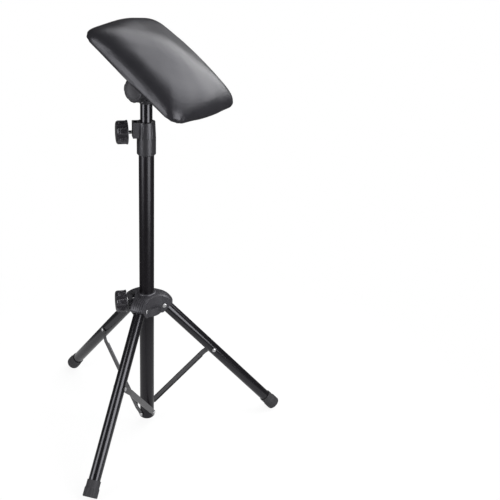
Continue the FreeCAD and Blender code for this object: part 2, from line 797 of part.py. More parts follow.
# Brace geometry: each brace joins the foot of the column to a leg, so its length and lean follow.
lean = size.leg_lean
brace_run = size.hub_pivot_radius + size.brace_down_leg * sine(lean)
brace_rise = size.hub_pivot_height - size.brace_down_leg * cosine(lean) - size.brace_foot_height
brace_length = root(brace_run * brace_run + brace_rise * brace_rise)
brace_lean = angle_of(brace_run, brace_rise)
column_lug = size.column_od / 2 + size.free_gap
leg_lug = size.leg_od / 2 + size.free_gap
web = column_lug + size.brace_flange
thick = size.brace_thick
brace_half = size.brace_width / 2


def leg_tube(number, azimuth):
    """Steel tube from just above its pivot down into the foot, drilled for both of its rivets."""
    body = new_body(f"leg_tube_{number}")
    ring = new_sketch(body, "ring", "XY_Plane", lift=size.foot_sole - size.leg_reach)
    circle(ring, 0, 0, size.leg_od / 2)
    circle(ring, 0, 0, size.leg_od / 2 - size.leg_wall)
    extrude(body, "Pad", ring, size.leg_reach - size.foot_sole + size.leg_stub)
    cross_hole(body, "pivot_hole", 0, size.pivot_rivet_od + size.turn_fit * 2, size.leg_od + size.cut_overrun)
    cross_hole(body, "brace_hole", -size.brace_down_leg, size.brace_rivet_od, size.leg_od + size.cut_overrun)
    place(body, *leg_place(azimuth))
    return keep(body)


def leg_place(azimuth):
    """A leg's frame: at its pivot in the hub, with the leg down its -Z axis."""
    return turn("Z", azimuth), move(size.hub_pivot_radius, 0, size.hub_pivot_height), turn("Y", -lean)


def foot(number, azimuth):
    """Rubber foot: a thick-soled cup over the end of the leg, fluted round its lower part."""
    body = new_body(f"foot_{number}")
    end = -size.leg_reach
    radius = size.foot_od / 2
    edge = size.foot_sole_round
    bore_radius = size.leg_od / 2 + size.slide_fit
    section = new_sketch(body, "section", "XZ_Plane")
    outline(section, (0, end), (radius - edge, end),
            ((radius - edge * CORNER_SHARE, end + edge * CORNER_SHARE), (radius, end + edge)),
            (radius, end + size.foot_flute_height),
            (size.foot_top_od / 2, end + size.foot_flute_height + size.foot_lip),
            (size.foot_top_od / 2, end + size.foot_height), (bore_radius, end + size.foot_height),
            (bore_radius, end + size.foot_sole), (0, end + size.foot_sole))
    revolve(body, section)
    flute = new_sketch(body, "flute", "XY_Plane", lift=end + edge * 2)
    circle(flute, radius + size.foot_flute_radius - size.foot_flute_depth, 0, size.foot_flute_radius)
    polar(body, [extrude(body, "Pocket", flute, size.foot_flute_height)], FOOT_FLUTES)
    place(body, *leg_place(azimuth))
    return keep(body)


def lug_end(body, name, height, side):
    """Rounds the end of a brace about its rivet hole; side is +1 for the upper end."""
    corner = size.cut_overrun + size.brace_lug
    ends = new_sketch(body, name, "XZ_Plane")
    outer = brace_half + size.cut_overrun
    outline(ends, (-outer, height), (-brace_half, height),
            ((0, height + brace_half * side), (brace_half, height)), (outer, height),
            (outer, height + corner * side), (-outer, height + corner * side))
    extrude(body, "Pocket", ends, (web + thick) * 2 + size.cut_overrun, both=True)


def brace(number, azimuth):
    """Pressed steel strip: a shallow channel whose flat ends step in to the column and to the leg."""
    body = new_body(f"brace_{number}")
    start = size.brace_lug
    rise = start + size.brace_slope
    fall = brace_length - start - size.brace_slope * 2
    end = brace_length - start
    tail = brace_length + size.brace_lug
    profile = new_sketch(body, "profile", "YZ_Plane")
    outline(profile, (column_lug, -size.brace_lug), (column_lug, start), (web, rise), (web, fall),
            (leg_lug, end), (leg_lug, tail), (leg_lug + thick, tail), (leg_lug + thick, end),
            (web + thick, fall), (web + thick, rise), (column_lug + thick, start),
            (column_lug + thick, -size.brace_lug))
    extrude(body, "Pad", profile, size.brace_width, both=True)
    low = size.brace_flange_margin
    high = brace_length - size.brace_flange_margin * 3 / 2
    flanges = new_sketch(body, "flanges", "XZ_Plane", lift=-web)
    rectangle(flanges, -brace_half, low, thick - brace_half, high)
    rectangle(flanges, brace_half - thick, low, brace_half, high)
    extrude(body, "Pad", flanges, size.brace_flange)
    lug_end(body, "column_end", ZERO, -1)
    lug_end(body, "leg_end", brace_length, 1)
    reach = (web + thick) * 2 + size.cut_overrun
    cross_hole(body, "column_hole", 0, size.brace_rivet_od, reach)
    cross_hole(body, "leg_hole", brace_length, size.brace_rivet_od + size.turn_fit * 2, reach)
    cross_hole(body, "small_hole", size.brace_small_hole_along, size.brace_small_hole, reach)
    place(body, turn("Z", azimuth), move(z=size.brace_foot_height), turn("Y", brace_lean))
    return keep(body)


# Each leg carries its foot, and the rivet of its brace passes right through it. The brace's lower
# rivet stops just short of the column: that pivot is the one left open in the folding linkage.
for number, azimuth in enumerate(AZIMUTHS, start=1):
    leg_tube(number, azimuth)
    foot(number, azimuth)
    leg_rivet = rivet(f"leg_rivet_{number}", size.brace_rivet_od, ZERO, size.brace_rivet_head_od,
                      -size.leg_od / 2, leg_lug + thick + size.face_gap)
    place(leg_rivet, *leg_place(azimuth), move(z=-size.brace_down_leg), turn("X", -90))
    keep(leg_rivet)
    brace(number, azimuth)
    stub = new_body(f"brace_rivet_{number}")
    height = size.rivet_head_height
    head = size.brace_rivet_head_od / 2
    section = new_sketch(stub, "section", "XZ_Plane")
    outline(section, (0, column_lug), (size.brace_rivet_od / 2, column_lug),
            (size.brace_rivet_od / 2, column_lug + thick), (head, column_lug + thick),
            ((head - height * CORNER_SHARE, column_lug + thick + height * math.sqrt(0.5)),
             (head - height, column_lug + thick + height)), (0, column_lug + thick + height))
    revolve(stub, section)
    place(stub, turn("Z", azimuth), move(z=size.brace_foot_height), turn("X", -90))
    keep(stub)

# The post slides in the column on a plastic bush and is clamped by the collar's screw. Its top end
# sits in the neck of the tilt joint and is pinned there.
neck_base = size.tilt_height - size.neck_drop
post_base = neck_base + size.neck_socket - size.post_length
post = tube("post_tube", size.post_od, size.post_wall, size.post_length)
pin_height = size.tilt_height - size.neck_pin_drop
cross_hole(post, "pin_hole", pin_height - post_base, size.neck_pin_od, size.post_od + size.cut_overrun)
place(post, turn("Z", size.head_turn), move(z=post_base))
keep(post)
bush = new_body("post_bush")
bush_radius = size.column_od / 2 - size.column_wall - size.turn_fit
inside = size.post_od / 2 - size.post_wall - size.turn_fit
section = new_sketch(bush, "section", "XZ_Plane")
outline(section, (size.bush_bore / 2, -size.bush_height), (bush_radius, -size.bush_height),
        (bush_radius, -size.face_gap), (inside, -size.face_gap), (inside, size.bush_spigot),
        (size.bush_bore / 2, size.bush_spigot))
revolve(bush, section)
place(bush, move(z=post_base))
keep(bush)

# The neck: a moulded cap on the post whose tongue stands between the ears of the bracket. Its rim
# laps the post's end just below the ears, and a hollow spigot reaches down inside the post.
neck = new_body("tilt_neck")
tongue_half = size.neck_disc_width / 2
neck_spigot_radius = size.post_od / 2 - size.post_wall - size.slide_fit
section = new_sketch(neck, "section", "XZ_Plane")
outline(section, (0, -size.neck_drop), (size.neck_rim_od / 2, -size.neck_drop),
        (size.neck_root_od / 2, -size.neck_root_drop), (size.neck_root_od / 2, 0), (0, 0))
revolve(neck, section)
flats = new_sketch(neck, "flats", "YZ_Plane")
flat_base = -(size.ear_disc_od / 2 + size.free_gap * 2)
for side in (-1, 1):
    near = tongue_half * side
    away = (size.neck_root_od / 2 + size.cut_overrun) * side
    rectangle(flats, near, flat_base, away, size.cut_overrun)
extrude(neck, "Pocket", flats, size.neck_root_od + size.cut_overrun, both=True)
disc = new_sketch(neck, "disc", "XZ_Plane")
circle(disc, 0, 0, size.neck_disc_od / 2)
extrude(neck, "Pad", disc, size.neck_disc_width, both=True)
socket = new_sketch(neck, "socket", "XY_Plane", lift=-size.neck_drop)
circle(socket, 0, 0, size.post_od / 2 + size.slide_fit)
circle(socket, 0, 0, neck_spigot_radius)
extrude(neck, "Pocket", socket, size.neck_socket + size.face_gap)
spigot = new_sketch(neck, "spigot", "XY_Plane", lift=-(size.neck_drop + size.neck_spigot))
circle(spigot, 0, 0, neck_spigot_radius)
circle(spigot, 0, 0, size.neck_spigot_bore / 2)
extrude(neck, "Pad", spigot, size.neck_spigot)
cross_hole(neck, "bolt_hole", 0, size.screw_od + size.turn_fit * 2, size.neck_root_od * 2)
cross_hole(neck, "pin_hole", -size.neck_pin_drop, size.neck_pin_od, size.neck_root_od * 2)
place(neck, turn("Z", size.head_turn), move(z=size.tilt_height))
keep(neck)
pin_half = size.neck_rim_od / 2 - size.free_gap
neck_pin = doc.addObject("Part::Cylinder", "neck_pin")
bind(neck_pin, "Radius", size.neck_pin_od / 2)
bind(neck_pin, "Height", pin_half * 2)
place(neck_pin, turn("Z", size.head_turn), move(0, -pin_half, pin_height), turn("X", -90))
keep(neck_pin, "neck_pin")

# The bracket: a moulded plate with two ears that straddle the neck, tilted about the bolt.
head_place = (turn("Z", size.head_turn), move(z=size.tilt_height), turn("Y", size.tilt_angle))
bracket = new_body("tilt_bracket")
plate_under = size.pad_seat - size.plate_thick
ear_inner = tongue_half + size.free_gap
ear_outer = ear_inner + size.ear_thick
disc_radius = size.ear_disc_od / 2
waist = size.ear_waist_width / 2
waist_drop = root(disc_radius * disc_radius - waist * waist)
foot_half = size.ear_foot_width / 2
cheek = new_sketch(bracket, "ears", "XZ_Plane")
outline(cheek, (foot_half, plate_under), ((waist, size.ear_waist_height), (waist, waist_drop)),
        ((0, -disc_radius), (-waist, waist_drop)),
        ((-waist, size.ear_waist_height), (-foot_half, plate_under)))
extrude(bracket, "Pad", cheek, ear_outer * 2, both=True)
between = new_sketch(bracket, "between_ears", "XZ_Plane")
circle(between, 0, 0, disc_radius + size.free_gap)
extrude(bracket, "Pocket", between, ear_inner * 2, both=True)
plate = new_sketch(bracket, "plate", "XY_Plane", lift=plate_under)


def rounded_plate(sketch, middle_x, middle_y, half_x, half_y, corner):
    """Rectangle with rounded corners, worked round from the start of its lower side."""
    slant = corner * (1 - math.sqrt(0.5))
    left = middle_x - half_x
    right = middle_x + half_x
    low = middle_y - half_y
    high = middle_y + half_y
    outline(sketch, (left + corner, low), (right - corner, low),
            ((right - slant, low + slant), (right, low + corner)), (right, high - corner),
            ((right - slant, high - slant), (right - corner, high)), (left + corner, high),
            ((left + slant, high - slant), (left, high - corner)), (left, low + corner),
            ((left + slant, low + slant), (left + corner, low)))


rounded_plate(plate, ZERO, ZERO, size.plate_length / 2, size.plate_width / 2, size.plate_corner)
extrude(bracket, "Pad", plate, size.plate_thick)
cross_hole(bracket, "bolt_hole", 0, size.screw_od + size.turn_fit * 2, ear_outer * 2 + size.cut_overrun)
recess = new_sketch(bracket, "head_recess", "XZ_Plane", lift=size.bolt_head_recess - ear_outer)
head_corner = (size.nut_flats / 2 + size.face_gap) / math.cos(math.pi / 6)
corners = [(head_corner * math.cos(math.radians(spot)), head_corner * math.sin(math.radians(spot)))
           for spot in range(0, 360, 60)]
outline(recess, *corners)
extrude(bracket, "Pocket", recess, size.bolt_head_recess + size.cut_overrun, back=True)
hole = new_sketch(bracket, "thumb_hole", "XY_Plane", lift=plate_under - size.cut_overrun)
circle(hole, size.thumb_offset, 0, size.thumb_hole / 2)
extrude(bracket, "Pocket", hole, size.plate_thick + size.cut_overrun * 2)
place(bracket, *head_place)
keep(bracket)

# Tilt bolt: its hexagon head is held in the far ear, and its shank reaches into the big tilt knob.
bolt_head = doc.addObject("Part::Prism", "tilt_bolt_head")
bolt_head.Polygon = 6
bind(bolt_head, "Circumradius", size.nut_flats / math.sqrt(3))
bind(bolt_head, "Height", size.bolt_head_height)
bolt_shank = doc.addObject("Part::Cylinder", "tilt_bolt_shank")
bind(bolt_shank, "Radius", size.screw_od / 2)
shank_length = ear_outer * 2 - size.bolt_head_recess + size.washer_thick + size.bolt_reach
bind(bolt_shank, "Height", shank_length)
place(bolt_shank, move(z=-shank_length))
tilt_bolt = doc.addObject("Part::Fuse", "tilt_bolt")
tilt_bolt.Base = bolt_head
tilt_bolt.Tool = bolt_shank
place(tilt_bolt, *head_place, move(0, ear_outer - size.bolt_head_recess, 0), turn("X", -90))
keep(tilt_bolt, "tilt_bolt")


def ring(label, outer, bore, height, *steps):
    """Plain round washer or bush up its own Z axis."""
    body = new_body(label)
    flat = new_sketch(body, "ring", "XY_Plane")
    circle(flat, 0, 0, outer)
    circle(flat, 0, 0, bore)
    extrude(body, "Pad", flat, height)
    place(body, *steps)
    return keep(body)


bolt_bore = size.screw_od / 2 + size.turn_fit
ring("tilt_washer", size.washer_od / 2, bolt_bore, size.washer_thick,
     *head_place, move(0, -(ear_outer + size.face_gap), 0), turn("X", 90))
tilt_base = ear_outer + size.washer_thick + size.face_gap * 2
tilt_knob = knob("tilt_knob", size.tilt_knob_od, size.tilt_knob_height, size.insert_od / 2,
                 size.insert_length)
place(tilt_knob, *head_place, move(0, -tilt_base, 0), turn("X", 90))
keep(tilt_knob)
ring("tilt_insert", size.insert_od / 2, bolt_bore, size.insert_length,
     *head_place, move(0, -tilt_base, 0), turn("X", 90))

# Layers of the pad, from its underside up: dust cloth, cover lap, board, foam and crowned cover.
pad_x = size.pad_shift_along
pad_y = size.pad_shift_across
lap_under = size.pad_seat + size.cloth_thick
board_under = lap_under + size.cover_thick
board_top = board_under + size.board_thick
screw_x = -(size.plate_length / 2 + size.keeper_foot / 2 + size.free_gap)


def pad_layer(label, base, height, half_x, half_y, corner, thumb_bore, screw_bore):
    """Flat layer of the pad, with holes for the thumb screw and for the keeper's two screws."""
    body = new_body(label)
    flat = new_sketch(body, "sheet", "XY_Plane", lift=base)
    rounded_plate(flat, pad_x, pad_y, half_x, half_y, corner)
    circle(flat, size.thumb_offset, 0, thumb_bore)
    for side in (-1, 1):
        circle(flat, screw_x, size.keeper_screw_pitch / 2 * side, screw_bore)
    extrude(body, "Pad", flat, height)
    place(body, *head_place)
    return keep(body)


board = pad_layer("pad_board", board_under, size.board_thick, size.pad_length / 2 - size.board_margin,
                  size.pad_width / 2 - size.board_margin, size.board_corner,
                  size.tee_nut_barrel_od / 2 + size.slide_fit, size.keeper_screw_od / 2 + size.slide_fit)
sink = new_sketch(board, "tee_sink", "XY_Plane", lift=board_top - size.tee_nut_flange_thick - size.face_gap)
circle(sink, size.thumb_offset, 0, size.tee_nut_flange_od / 2 + size.slide_fit)
extrude(board, "Pocket", sink, size.board_thick)
pad_layer("dust_cloth", size.pad_seat, size.cloth_thick,
          size.pad_length / 2 - size.window_margin + size.board_margin / 2,
          size.pad_width / 2 - size.window_margin + size.board_margin / 2, size.plate_corner,
          size.tee_nut_barrel_od / 2 + size.slide_fit, size.keeper_screw_od / 2 + size.slide_fit)


def cushion(inset):
    """Crowned cushion with drawn-in sides, its whole surface moved in by an inset."""
    half_x = (size.pad_length / 2 - inset).value
    half_y = (size.pad_width / 2 - inset).value
    thick = (size.pad_thick - size.cloth_thick - inset * 2).value
    base = (lap_under + inset).value
    wires = []
    for height_share, width_share, length_share in CUSHION_SHARES:
        reach_x = half_x * (1 - length_share)
        reach_y = half_y * (1 - width_share)
        round_share = height_share * height_share * TOP_CORNER_SHARE
        corner = size.pad_corner.value * (1 - width_share) * (1 - round_share) + reach_y * round_share
        bow = size.pad_bow.value * (1 - width_share) + reach_y * round_share * TOP_BOW_SHARE
        along = reach_x - corner
        across = reach_y - corner
        bend = (corner - bow) * math.sqrt(0.5)
        level = base + thick * height_share

        def spot(x, y):
            return FreeCAD.Vector(x, y, level)

        stops = [spot(-along, reach_y - bow), spot(0, reach_y), spot(along, reach_y - bow),
                 spot(along + bend, across + bend), spot(reach_x - bow, across), spot(reach_x, 0),
                 spot(reach_x - bow, -across), spot(along + bend, -across - bend),
                 spot(along, bow - reach_y), spot(0, -reach_y), spot(-along, bow - reach_y),
                 spot(-along - bend, -across - bend), spot(bow - reach_x, -across), spot(-reach_x, 0),
                 spot(bow - reach_x, across), spot(-along - bend, across + bend), spot(-along, reach_y - bow)]
        arcs = [Part.Arc(*stops[index:index + 3]).toShape() for index in range(0, len(stops) - 1, 2)]
        wires.append(Part.Wire(arcs))
    form = Part.makeLoft(wires, True, True)
    form.translate(FreeCAD.Vector(pad_x.value, pad_y.value, 0))
    return form


def formed(label, shape):
    """A piece whose freely curved shape is worked out here, placed with the pad."""
    piece = doc.addObject("Part::Feature", label)
    piece.Shape = shape
    place(piece, *head_place)
    return keep(piece, label)


doc.recompute()
outer_form = cushion(ZERO)
inner_form = cushion(size.cover_thick)
window = Part.makeBox((size.pad_length - size.window_margin * 2).value,
                      (size.pad_width - size.window_margin * 2).value, size.cover_thick.value * 2)
window.translate(FreeCAD.Vector((pad_x - size.pad_length / 2 + size.window_margin).value,
                                (pad_y - size.pad_width / 2 + size.window_margin).value,
                                (lap_under - size.cover_thick / 2).value))
formed("pad_cover", outer_form.cut(inner_form).cut(window))

# The thumb screw goes up through the plate into a tee nut in the board, and a keeper strip screwed
# under the board laps the other end of the plate.
tee_nut = new_body("tee_nut")
section = new_sketch(tee_nut, "section", "XZ_Plane")
barrel_base = board_under + size.slide_fit
flange_under = board_top - size.tee_nut_flange_thick
bore_radius = size.thumb_screw_od / 2 + size.slide_fit
outline(section, (bore_radius, barrel_base), (size.tee_nut_barrel_od / 2, barrel_base),
        (size.tee_nut_barrel_od / 2, flange_under), (size.tee_nut_flange_od / 2, flange_under),
        (size.tee_nut_flange_od / 2, board_top), (bore_radius, board_top))
revolve(tee_nut, section)
place(tee_nut, *head_place, move(size.thumb_offset, 0, 0))
keep(tee_nut)
thumb_washer_top = plate_under - size.face_gap
ring("thumb_washer", size.thumb_washer_od / 2, size.thumb_screw_od / 2 + size.turn_fit,
     size.thumb_washer_thick, *head_place, move(size.thumb_offset, 0, thumb_washer_top), turn("X", 180))
thumb_top = thumb_washer_top - size.thumb_washer_thick - size.face_gap
thumb = new_body("thumb_knob")
radius = size.thumb_od / 2
shoulder_end = size.thumb_neck_height
total = shoulder_end + size.thumb_height
edge = size.thumb_round
section = new_sketch(thumb, "section", "XZ_Plane")
outline(section, (0, 0), (size.thumb_neck_od / 2, 0), (size.thumb_neck_od / 2, shoulder_end),
        (radius - edge, shoulder_end),
        ((radius - edge * CORNER_SHARE, shoulder_end + edge * CORNER_SHARE), (radius, shoulder_end + edge)),
        (radius, total - edge),
        ((radius - edge * CORNER_SHARE, total - edge * CORNER_SHARE), (radius - edge, total)), (0, total))
revolve(thumb, section)
knurl = new_sketch(thumb, "knurl", "XY_Plane", lift=shoulder_end + edge)
circle(knurl, radius, 0, size.thumb_groove_radius)
polar(thumb, [extrude(thumb, "Pocket", knurl, size.thumb_height - edge * 2)], THUMB_GROOVES)
bore = new_sketch(thumb, "bore", "XY_Plane")
circle(bore, 0, 0, size.thumb_screw_od / 2)
extrude(thumb, "Pocket", bore, size.thumb_screw_grip)
place(thumb, *head_place, move(size.thumb_offset, 0, thumb_top), turn("X", 180))
keep(thumb)
thumb_screw = doc.addObject("Part::Cylinder", "thumb_screw")
bind(thumb_screw, "Radius", size.thumb_screw_od / 2)
bind(thumb_screw, "Height", flange_under - thumb_top + size.thumb_screw_grip)
place(thumb_screw, *head_place, move(size.thumb_offset, 0, thumb_top - size.thumb_screw_grip))
keep(thumb_screw, "thumb_screw")
keeper = new_body("keeper_strip")
plate_end = -size.plate_length / 2
lap_end = plate_end + size.keeper_lap
heel = plate_end - size.free_gap
foot_end = heel - size.keeper_foot
strip = size.keeper_thick
section = new_sketch(keeper, "section", "XZ_Plane")
outline(section, (foot_end, size.pad_seat), (foot_end, size.pad_seat - strip),
        (heel - strip, size.pad_seat - strip), (heel - strip, plate_under - strip),
        (lap_end, plate_under - strip), (lap_end, plate_under), (heel, plate_under),
        (heel, size.pad_seat))
extrude(keeper, "Pad", section, size.keeper_width, both=True)
holes = new_sketch(keeper, "screw_holes", "XY_Plane", lift=size.pad_seat - strip - size.cut_overrun)
for side in (-1, 1):
    circle(holes, screw_x, size.keeper_screw_pitch / 2 * side, size.keeper_screw_od / 2 + size.slide_fit)
extrude(keeper, "Pocket", holes, strip + size.cut_overrun * 2)
place(keeper, *head_place)
keep(keeper)
screws = []
for number, side in enumerate((-1, 1), start=1):
    screw = new_body(f"keeper_screw_{number}")
    head = size.keeper_screw_head_od / 2
    section = new_sketch(screw, "section", "XZ_Plane")
    shank_top = board_top - size.tee_nut_flange_thick * 2
    seat = size.pad_seat - strip
    outline(section, (0, seat - size.keeper_screw_head), (head / 2, seat - size.keeper_screw_head),
            (head, seat), (size.keeper_screw_od / 2, seat), (size.keeper_screw_od / 2, shank_top),
            (0, shank_top))
    revolve(screw, section)
    place(screw, *head_place, move(screw_x, size.keeper_screw_pitch / 2 * side, 0))
    screws.append(screw)
group("keeper_screws", screws)

# The foam fills the cover round the board.
well = Part.makeBox((size.pad_length - size.board_margin * 2).value,
                    (size.pad_width - size.board_margin * 2).value, size.board_thick.value)
upright = [edge for edge in well.Edges if edge.BoundBox.ZLength > size.board_thick.value / 2]
well = well.makeFillet(size.board_corner.value, upright)
well.translate(FreeCAD.Vector((pad_x - size.pad_length / 2 + size.board_margin).value,
                              (pad_y - size.pad_width / 2 + size.board_margin).value, board_under.value))
formed("pad_foam", inner_form.cut(well))

doc.recompute()
failed = [thing.Label for thing in doc.Objects if "Invalid" in thing.State or "Error" in thing.State]
failed += [piece.Label for piece in subparts if piece.Shape.isNull() or not piece.Shape.isValid()]
if failed:
    raise SystemExit(f"these did not build: {failed}")
os.makedirs("parts", exist_ok=True)
for piece in subparts:
    piece.Shape.exportStep(f"parts/{piece.Label}.step")
    solids = len(piece.Shape.Solids)
    print(f"{piece.Label}: {solids} solid(s), {piece.Shape.Volume / 1000:.2f} cm3")
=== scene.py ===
import math

import bmesh
import bpy
from mathutils import Matrix, Vector, noise


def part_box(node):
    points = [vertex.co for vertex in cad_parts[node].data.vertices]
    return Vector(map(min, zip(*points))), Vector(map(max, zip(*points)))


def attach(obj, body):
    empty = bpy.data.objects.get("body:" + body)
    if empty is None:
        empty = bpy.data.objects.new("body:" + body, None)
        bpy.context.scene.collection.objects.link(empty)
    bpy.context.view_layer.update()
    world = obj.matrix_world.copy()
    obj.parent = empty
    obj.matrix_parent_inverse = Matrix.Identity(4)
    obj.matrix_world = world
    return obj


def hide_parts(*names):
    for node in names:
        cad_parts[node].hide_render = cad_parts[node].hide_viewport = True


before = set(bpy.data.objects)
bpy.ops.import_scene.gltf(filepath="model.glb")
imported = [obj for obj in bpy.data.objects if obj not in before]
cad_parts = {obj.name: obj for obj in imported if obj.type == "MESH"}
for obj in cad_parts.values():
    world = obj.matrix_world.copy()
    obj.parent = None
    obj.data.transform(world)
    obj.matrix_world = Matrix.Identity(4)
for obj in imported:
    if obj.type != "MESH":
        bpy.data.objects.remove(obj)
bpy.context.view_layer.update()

# Column plug: a nylon cap pressed into the bottom of the column. The stand rests on its rounded
# flange when it is folded, and the sprue's gate mark stays in the middle of its underside.
PLUG_RADIUS = 0.016
PLUG_FLANGE = 0.003
PLUG_SPIGOT = 0.01442
PLUG_TOP = 0.017
PLUG_WALL = 0.002
PLUG_DIMPLE = 0.0105
PLUG_LIP = 0.0008
GATE_RADIUS = 0.0016
GATE_DEPTH = 0.0007
DIMPLE_DEPTH = 0.0012


def turned(profile, steps=128, closed=False):
    """Mesh turned about Z from a profile of (radius, height, rounding of that corner)."""
    shape = bmesh.new()
    corners = [shape.verts.new((radius, 0, height)) for radius, height, _ in profile]
    for corner, following in zip(corners, corners[1:]):
        shape.edges.new((corner, following))
    if closed:
        shape.edges.new((corners[-1], corners[0]))
    for rounding in sorted({amount for _, _, amount in profile if amount}):
        ends = [corner for corner, point in zip(corners, profile) if point[2] == rounding]
        bmesh.ops.bevel(shape, geom=ends, affect="VERTICES", offset=rounding, segments=4,
                        profile=0.5, material=-1)
    bmesh.ops.spin(shape, geom=shape.verts[:] + shape.edges[:], cent=(0, 0, 0), axis=(0, 0, 1),
                   dvec=(0, 0, 0), angle=math.tau, steps=steps, use_merge=True, use_duplicate=False)
    bmesh.ops.remove_doubles(shape, verts=shape.verts, dist=0.00001)
    bmesh.ops.recalc_face_normals(shape, faces=shape.faces)
    return shape


def effect(name, numbers, results):
    """Node group with named number inputs and named number results."""
    tree = bpy.data.node_groups.new(name, "ShaderNodeTree")
    for label, value in numbers:
        tree.interface.new_socket(label, in_out="INPUT", socket_type="NodeSocketFloat").default_value = value
    for label in results:
        tree.interface.new_socket(label, in_out="OUTPUT", socket_type="NodeSocketFloat")
    return tree, tree.nodes.new("NodeGroupInput").outputs, tree.nodes.new("NodeGroupOutput").inputs


def node(tree, kind, settings=(), **links):
    """Adds a shader node with its settings, its inputs joined or set by their names."""
    made = tree.nodes.new(kind)
    for key, value in dict(settings).items():
        setattr(made, key, value)
    for key, value in links.items():
        socket = made.inputs[int(key[1:])] if key[1:].isdigit() else made.inputs[key.replace("_", " ")]
        if isinstance(value, bpy.types.NodeSocket):
            tree.links.new(value, socket)
        else:
            socket.default_value = value
    return made


# Speckle: the fine grain of a sprayed or moulded skin, and slow drifts in its gloss.
speckle, given, results = effect("speckle", [("Grain", 0.001), ("Gloss", 0.4), ("Drift", 0.06)],
                                 ["Height", "Roughness", "Patch"])
coordinates = node(speckle, "ShaderNodeTexCoord").outputs["Object"]
scale = node(speckle, "ShaderNodeMath", {"operation": "DIVIDE"}, _0=1.0, _1=given["Grain"]).outputs[0]
fine = node(speckle, "ShaderNodeTexNoise", Vector=coordinates, Scale=scale, Detail=2.0, Roughness=0.5)
patch = node(speckle, "ShaderNodeTexNoise", Vector=coordinates, Scale=28.0, Detail=3.0, Roughness=0.6)
centred = node(speckle, "ShaderNodeMath", {"operation": "SUBTRACT"}, _0=patch.outputs[0], _1=0.5).outputs[0]
swing = node(speckle, "ShaderNodeMath", {"operation": "MULTIPLY"}, _0=centred, _1=given["Drift"]).outputs[0]
rough = node(speckle, "ShaderNodeMath", {"operation": "ADD"}, _0=swing, _1=given["Gloss"]).outputs[0]
speckle.links.new(fine.outputs[0], results["Height"])
speckle.links.new(rough, results["Roughness"])
speckle.links.new(patch.outputs[0], results["Patch"])


# Paint, moulding and leather reflect a little cooler than the zinc and brass do.
COOL = (0.93, 0.93, 1.0)


def skin(name, dark, light, grain, gloss, relief, drift=0.1, metal=0.0, shine=0.5):
    """Finish whose colour drifts between two tones, with a grain of that size and relief in metres."""
    material = bpy.data.materials.new(name)
    material.use_nodes = True
    tree = material.node_tree
    surface = tree.nodes["Principled BSDF"]
    look = node(tree, "ShaderNodeGroup", {"node_tree": speckle}, Grain=grain, Gloss=gloss, Drift=drift)
    tone = node(tree, "ShaderNodeMix", {"data_type": "RGBA"}, Factor=look.outputs["Patch"])
    tone.inputs[6].default_value = (*dark, 1)
    tone.inputs[7].default_value = (*light, 1)
    bump = node(tree, "ShaderNodeBump", Strength=1.0, Distance=relief, Height=look.outputs["Height"])
    tree.links.new(tone.outputs[2], surface.inputs["Base Color"])
    tree.links.new(look.outputs["Roughness"], surface.inputs["Roughness"])
    tree.links.new(bump.outputs[0], surface.inputs["Normal"])
    surface.inputs["Metallic"].default_value = metal
    surface.inputs["Specular IOR Level"].default_value = shine
    if not metal:
        surface.inputs["Specular Tint"].default_value = (*COOL, 1)
    material.diffuse_color = (*dark, 1)
    return material


def piece(name, shape, place, material, body, slot, *replaced, crease=35):
    """Finished piece of the stand: its mesh put in place, smoothed, painted and riding on its body."""
    shape.transform(place)
    mesh = bpy.data.meshes.new(name)
    shape.to_mesh(mesh)
    shape.free()
    mesh.shade_smooth()
    mesh.set_sharp_from_angle(angle=math.radians(crease))
    mesh.materials.append(material)
    thing = bpy.data.objects.new(name, mesh)
    bpy.context.scene.collection.objects.link(thing)
    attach(thing, body)
    if replaced:
        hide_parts(*replaced)
    return thing


nylon_black = skin("nylon_black", (0.014, 0.014, 0.015), (0.022, 0.022, 0.023), 0.0009, 0.5, 0.00003)
plug = turned([(0, GATE_DEPTH, 0), (GATE_RADIUS, GATE_DEPTH, 0), (GATE_RADIUS, DIMPLE_DEPTH, 0.0002),
               (PLUG_DIMPLE, DIMPLE_DEPTH, 0.0004), (PLUG_DIMPLE + PLUG_LIP, 0, 0.0003),
               (PLUG_RADIUS, 0, PLUG_FLANGE * 0.9),
               (PLUG_RADIUS, PLUG_FLANGE, 0.0002), (PLUG_SPIGOT, PLUG_FLANGE, 0),
               (PLUG_SPIGOT, PLUG_TOP, 0.0006), (PLUG_SPIGOT - PLUG_WALL, PLUG_TOP, 0.0006),
               (PLUG_SPIGOT - PLUG_WALL, PLUG_FLANGE, 0), (0, PLUG_FLANGE, 0)])
piece("plug", plug, Matrix(), nylon_black, "column", "nylon", "column_plug")

# Column: a 32 mm steel tube in satin black powder coat, open at the top where the post goes in.
# The clamp collar grips its top and the hub slides on it.
COLUMN_RADIUS = 0.016
COLUMN_WALL = 0.0015


def pipe(bottom, top, outer, wall):
    """Straight tube up the Z axis with its cut ends eased."""
    ease = wall / 4
    return turned([(outer, bottom, ease), (outer, top, ease), (outer - wall, top, ease),
                   (outer - wall, bottom, ease)], closed=True)


satin_paint = skin("satin_paint", (0.0036, 0.0028, 0.0038), (0.0048, 0.0039, 0.0051), 0.0011, 0.31, 0.000012,
                   drift=0.05, shine=0.45)
low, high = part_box("column_tube")
piece("column", pipe(low.z, high.z, COLUMN_RADIUS, COLUMN_WALL), Matrix(), satin_paint, "column",
      "painted_tube", "column_tube")

# Clamp collar: a sleeve moulded in black nylon, pushed over the top of the column. A box on its side
# holds the nut of the clamp screw, and short flutes run up its waist to a point.
MOULD_EDGE = 0.0003
FLAT = math.radians(0.6)
CORNER = math.radians(28)


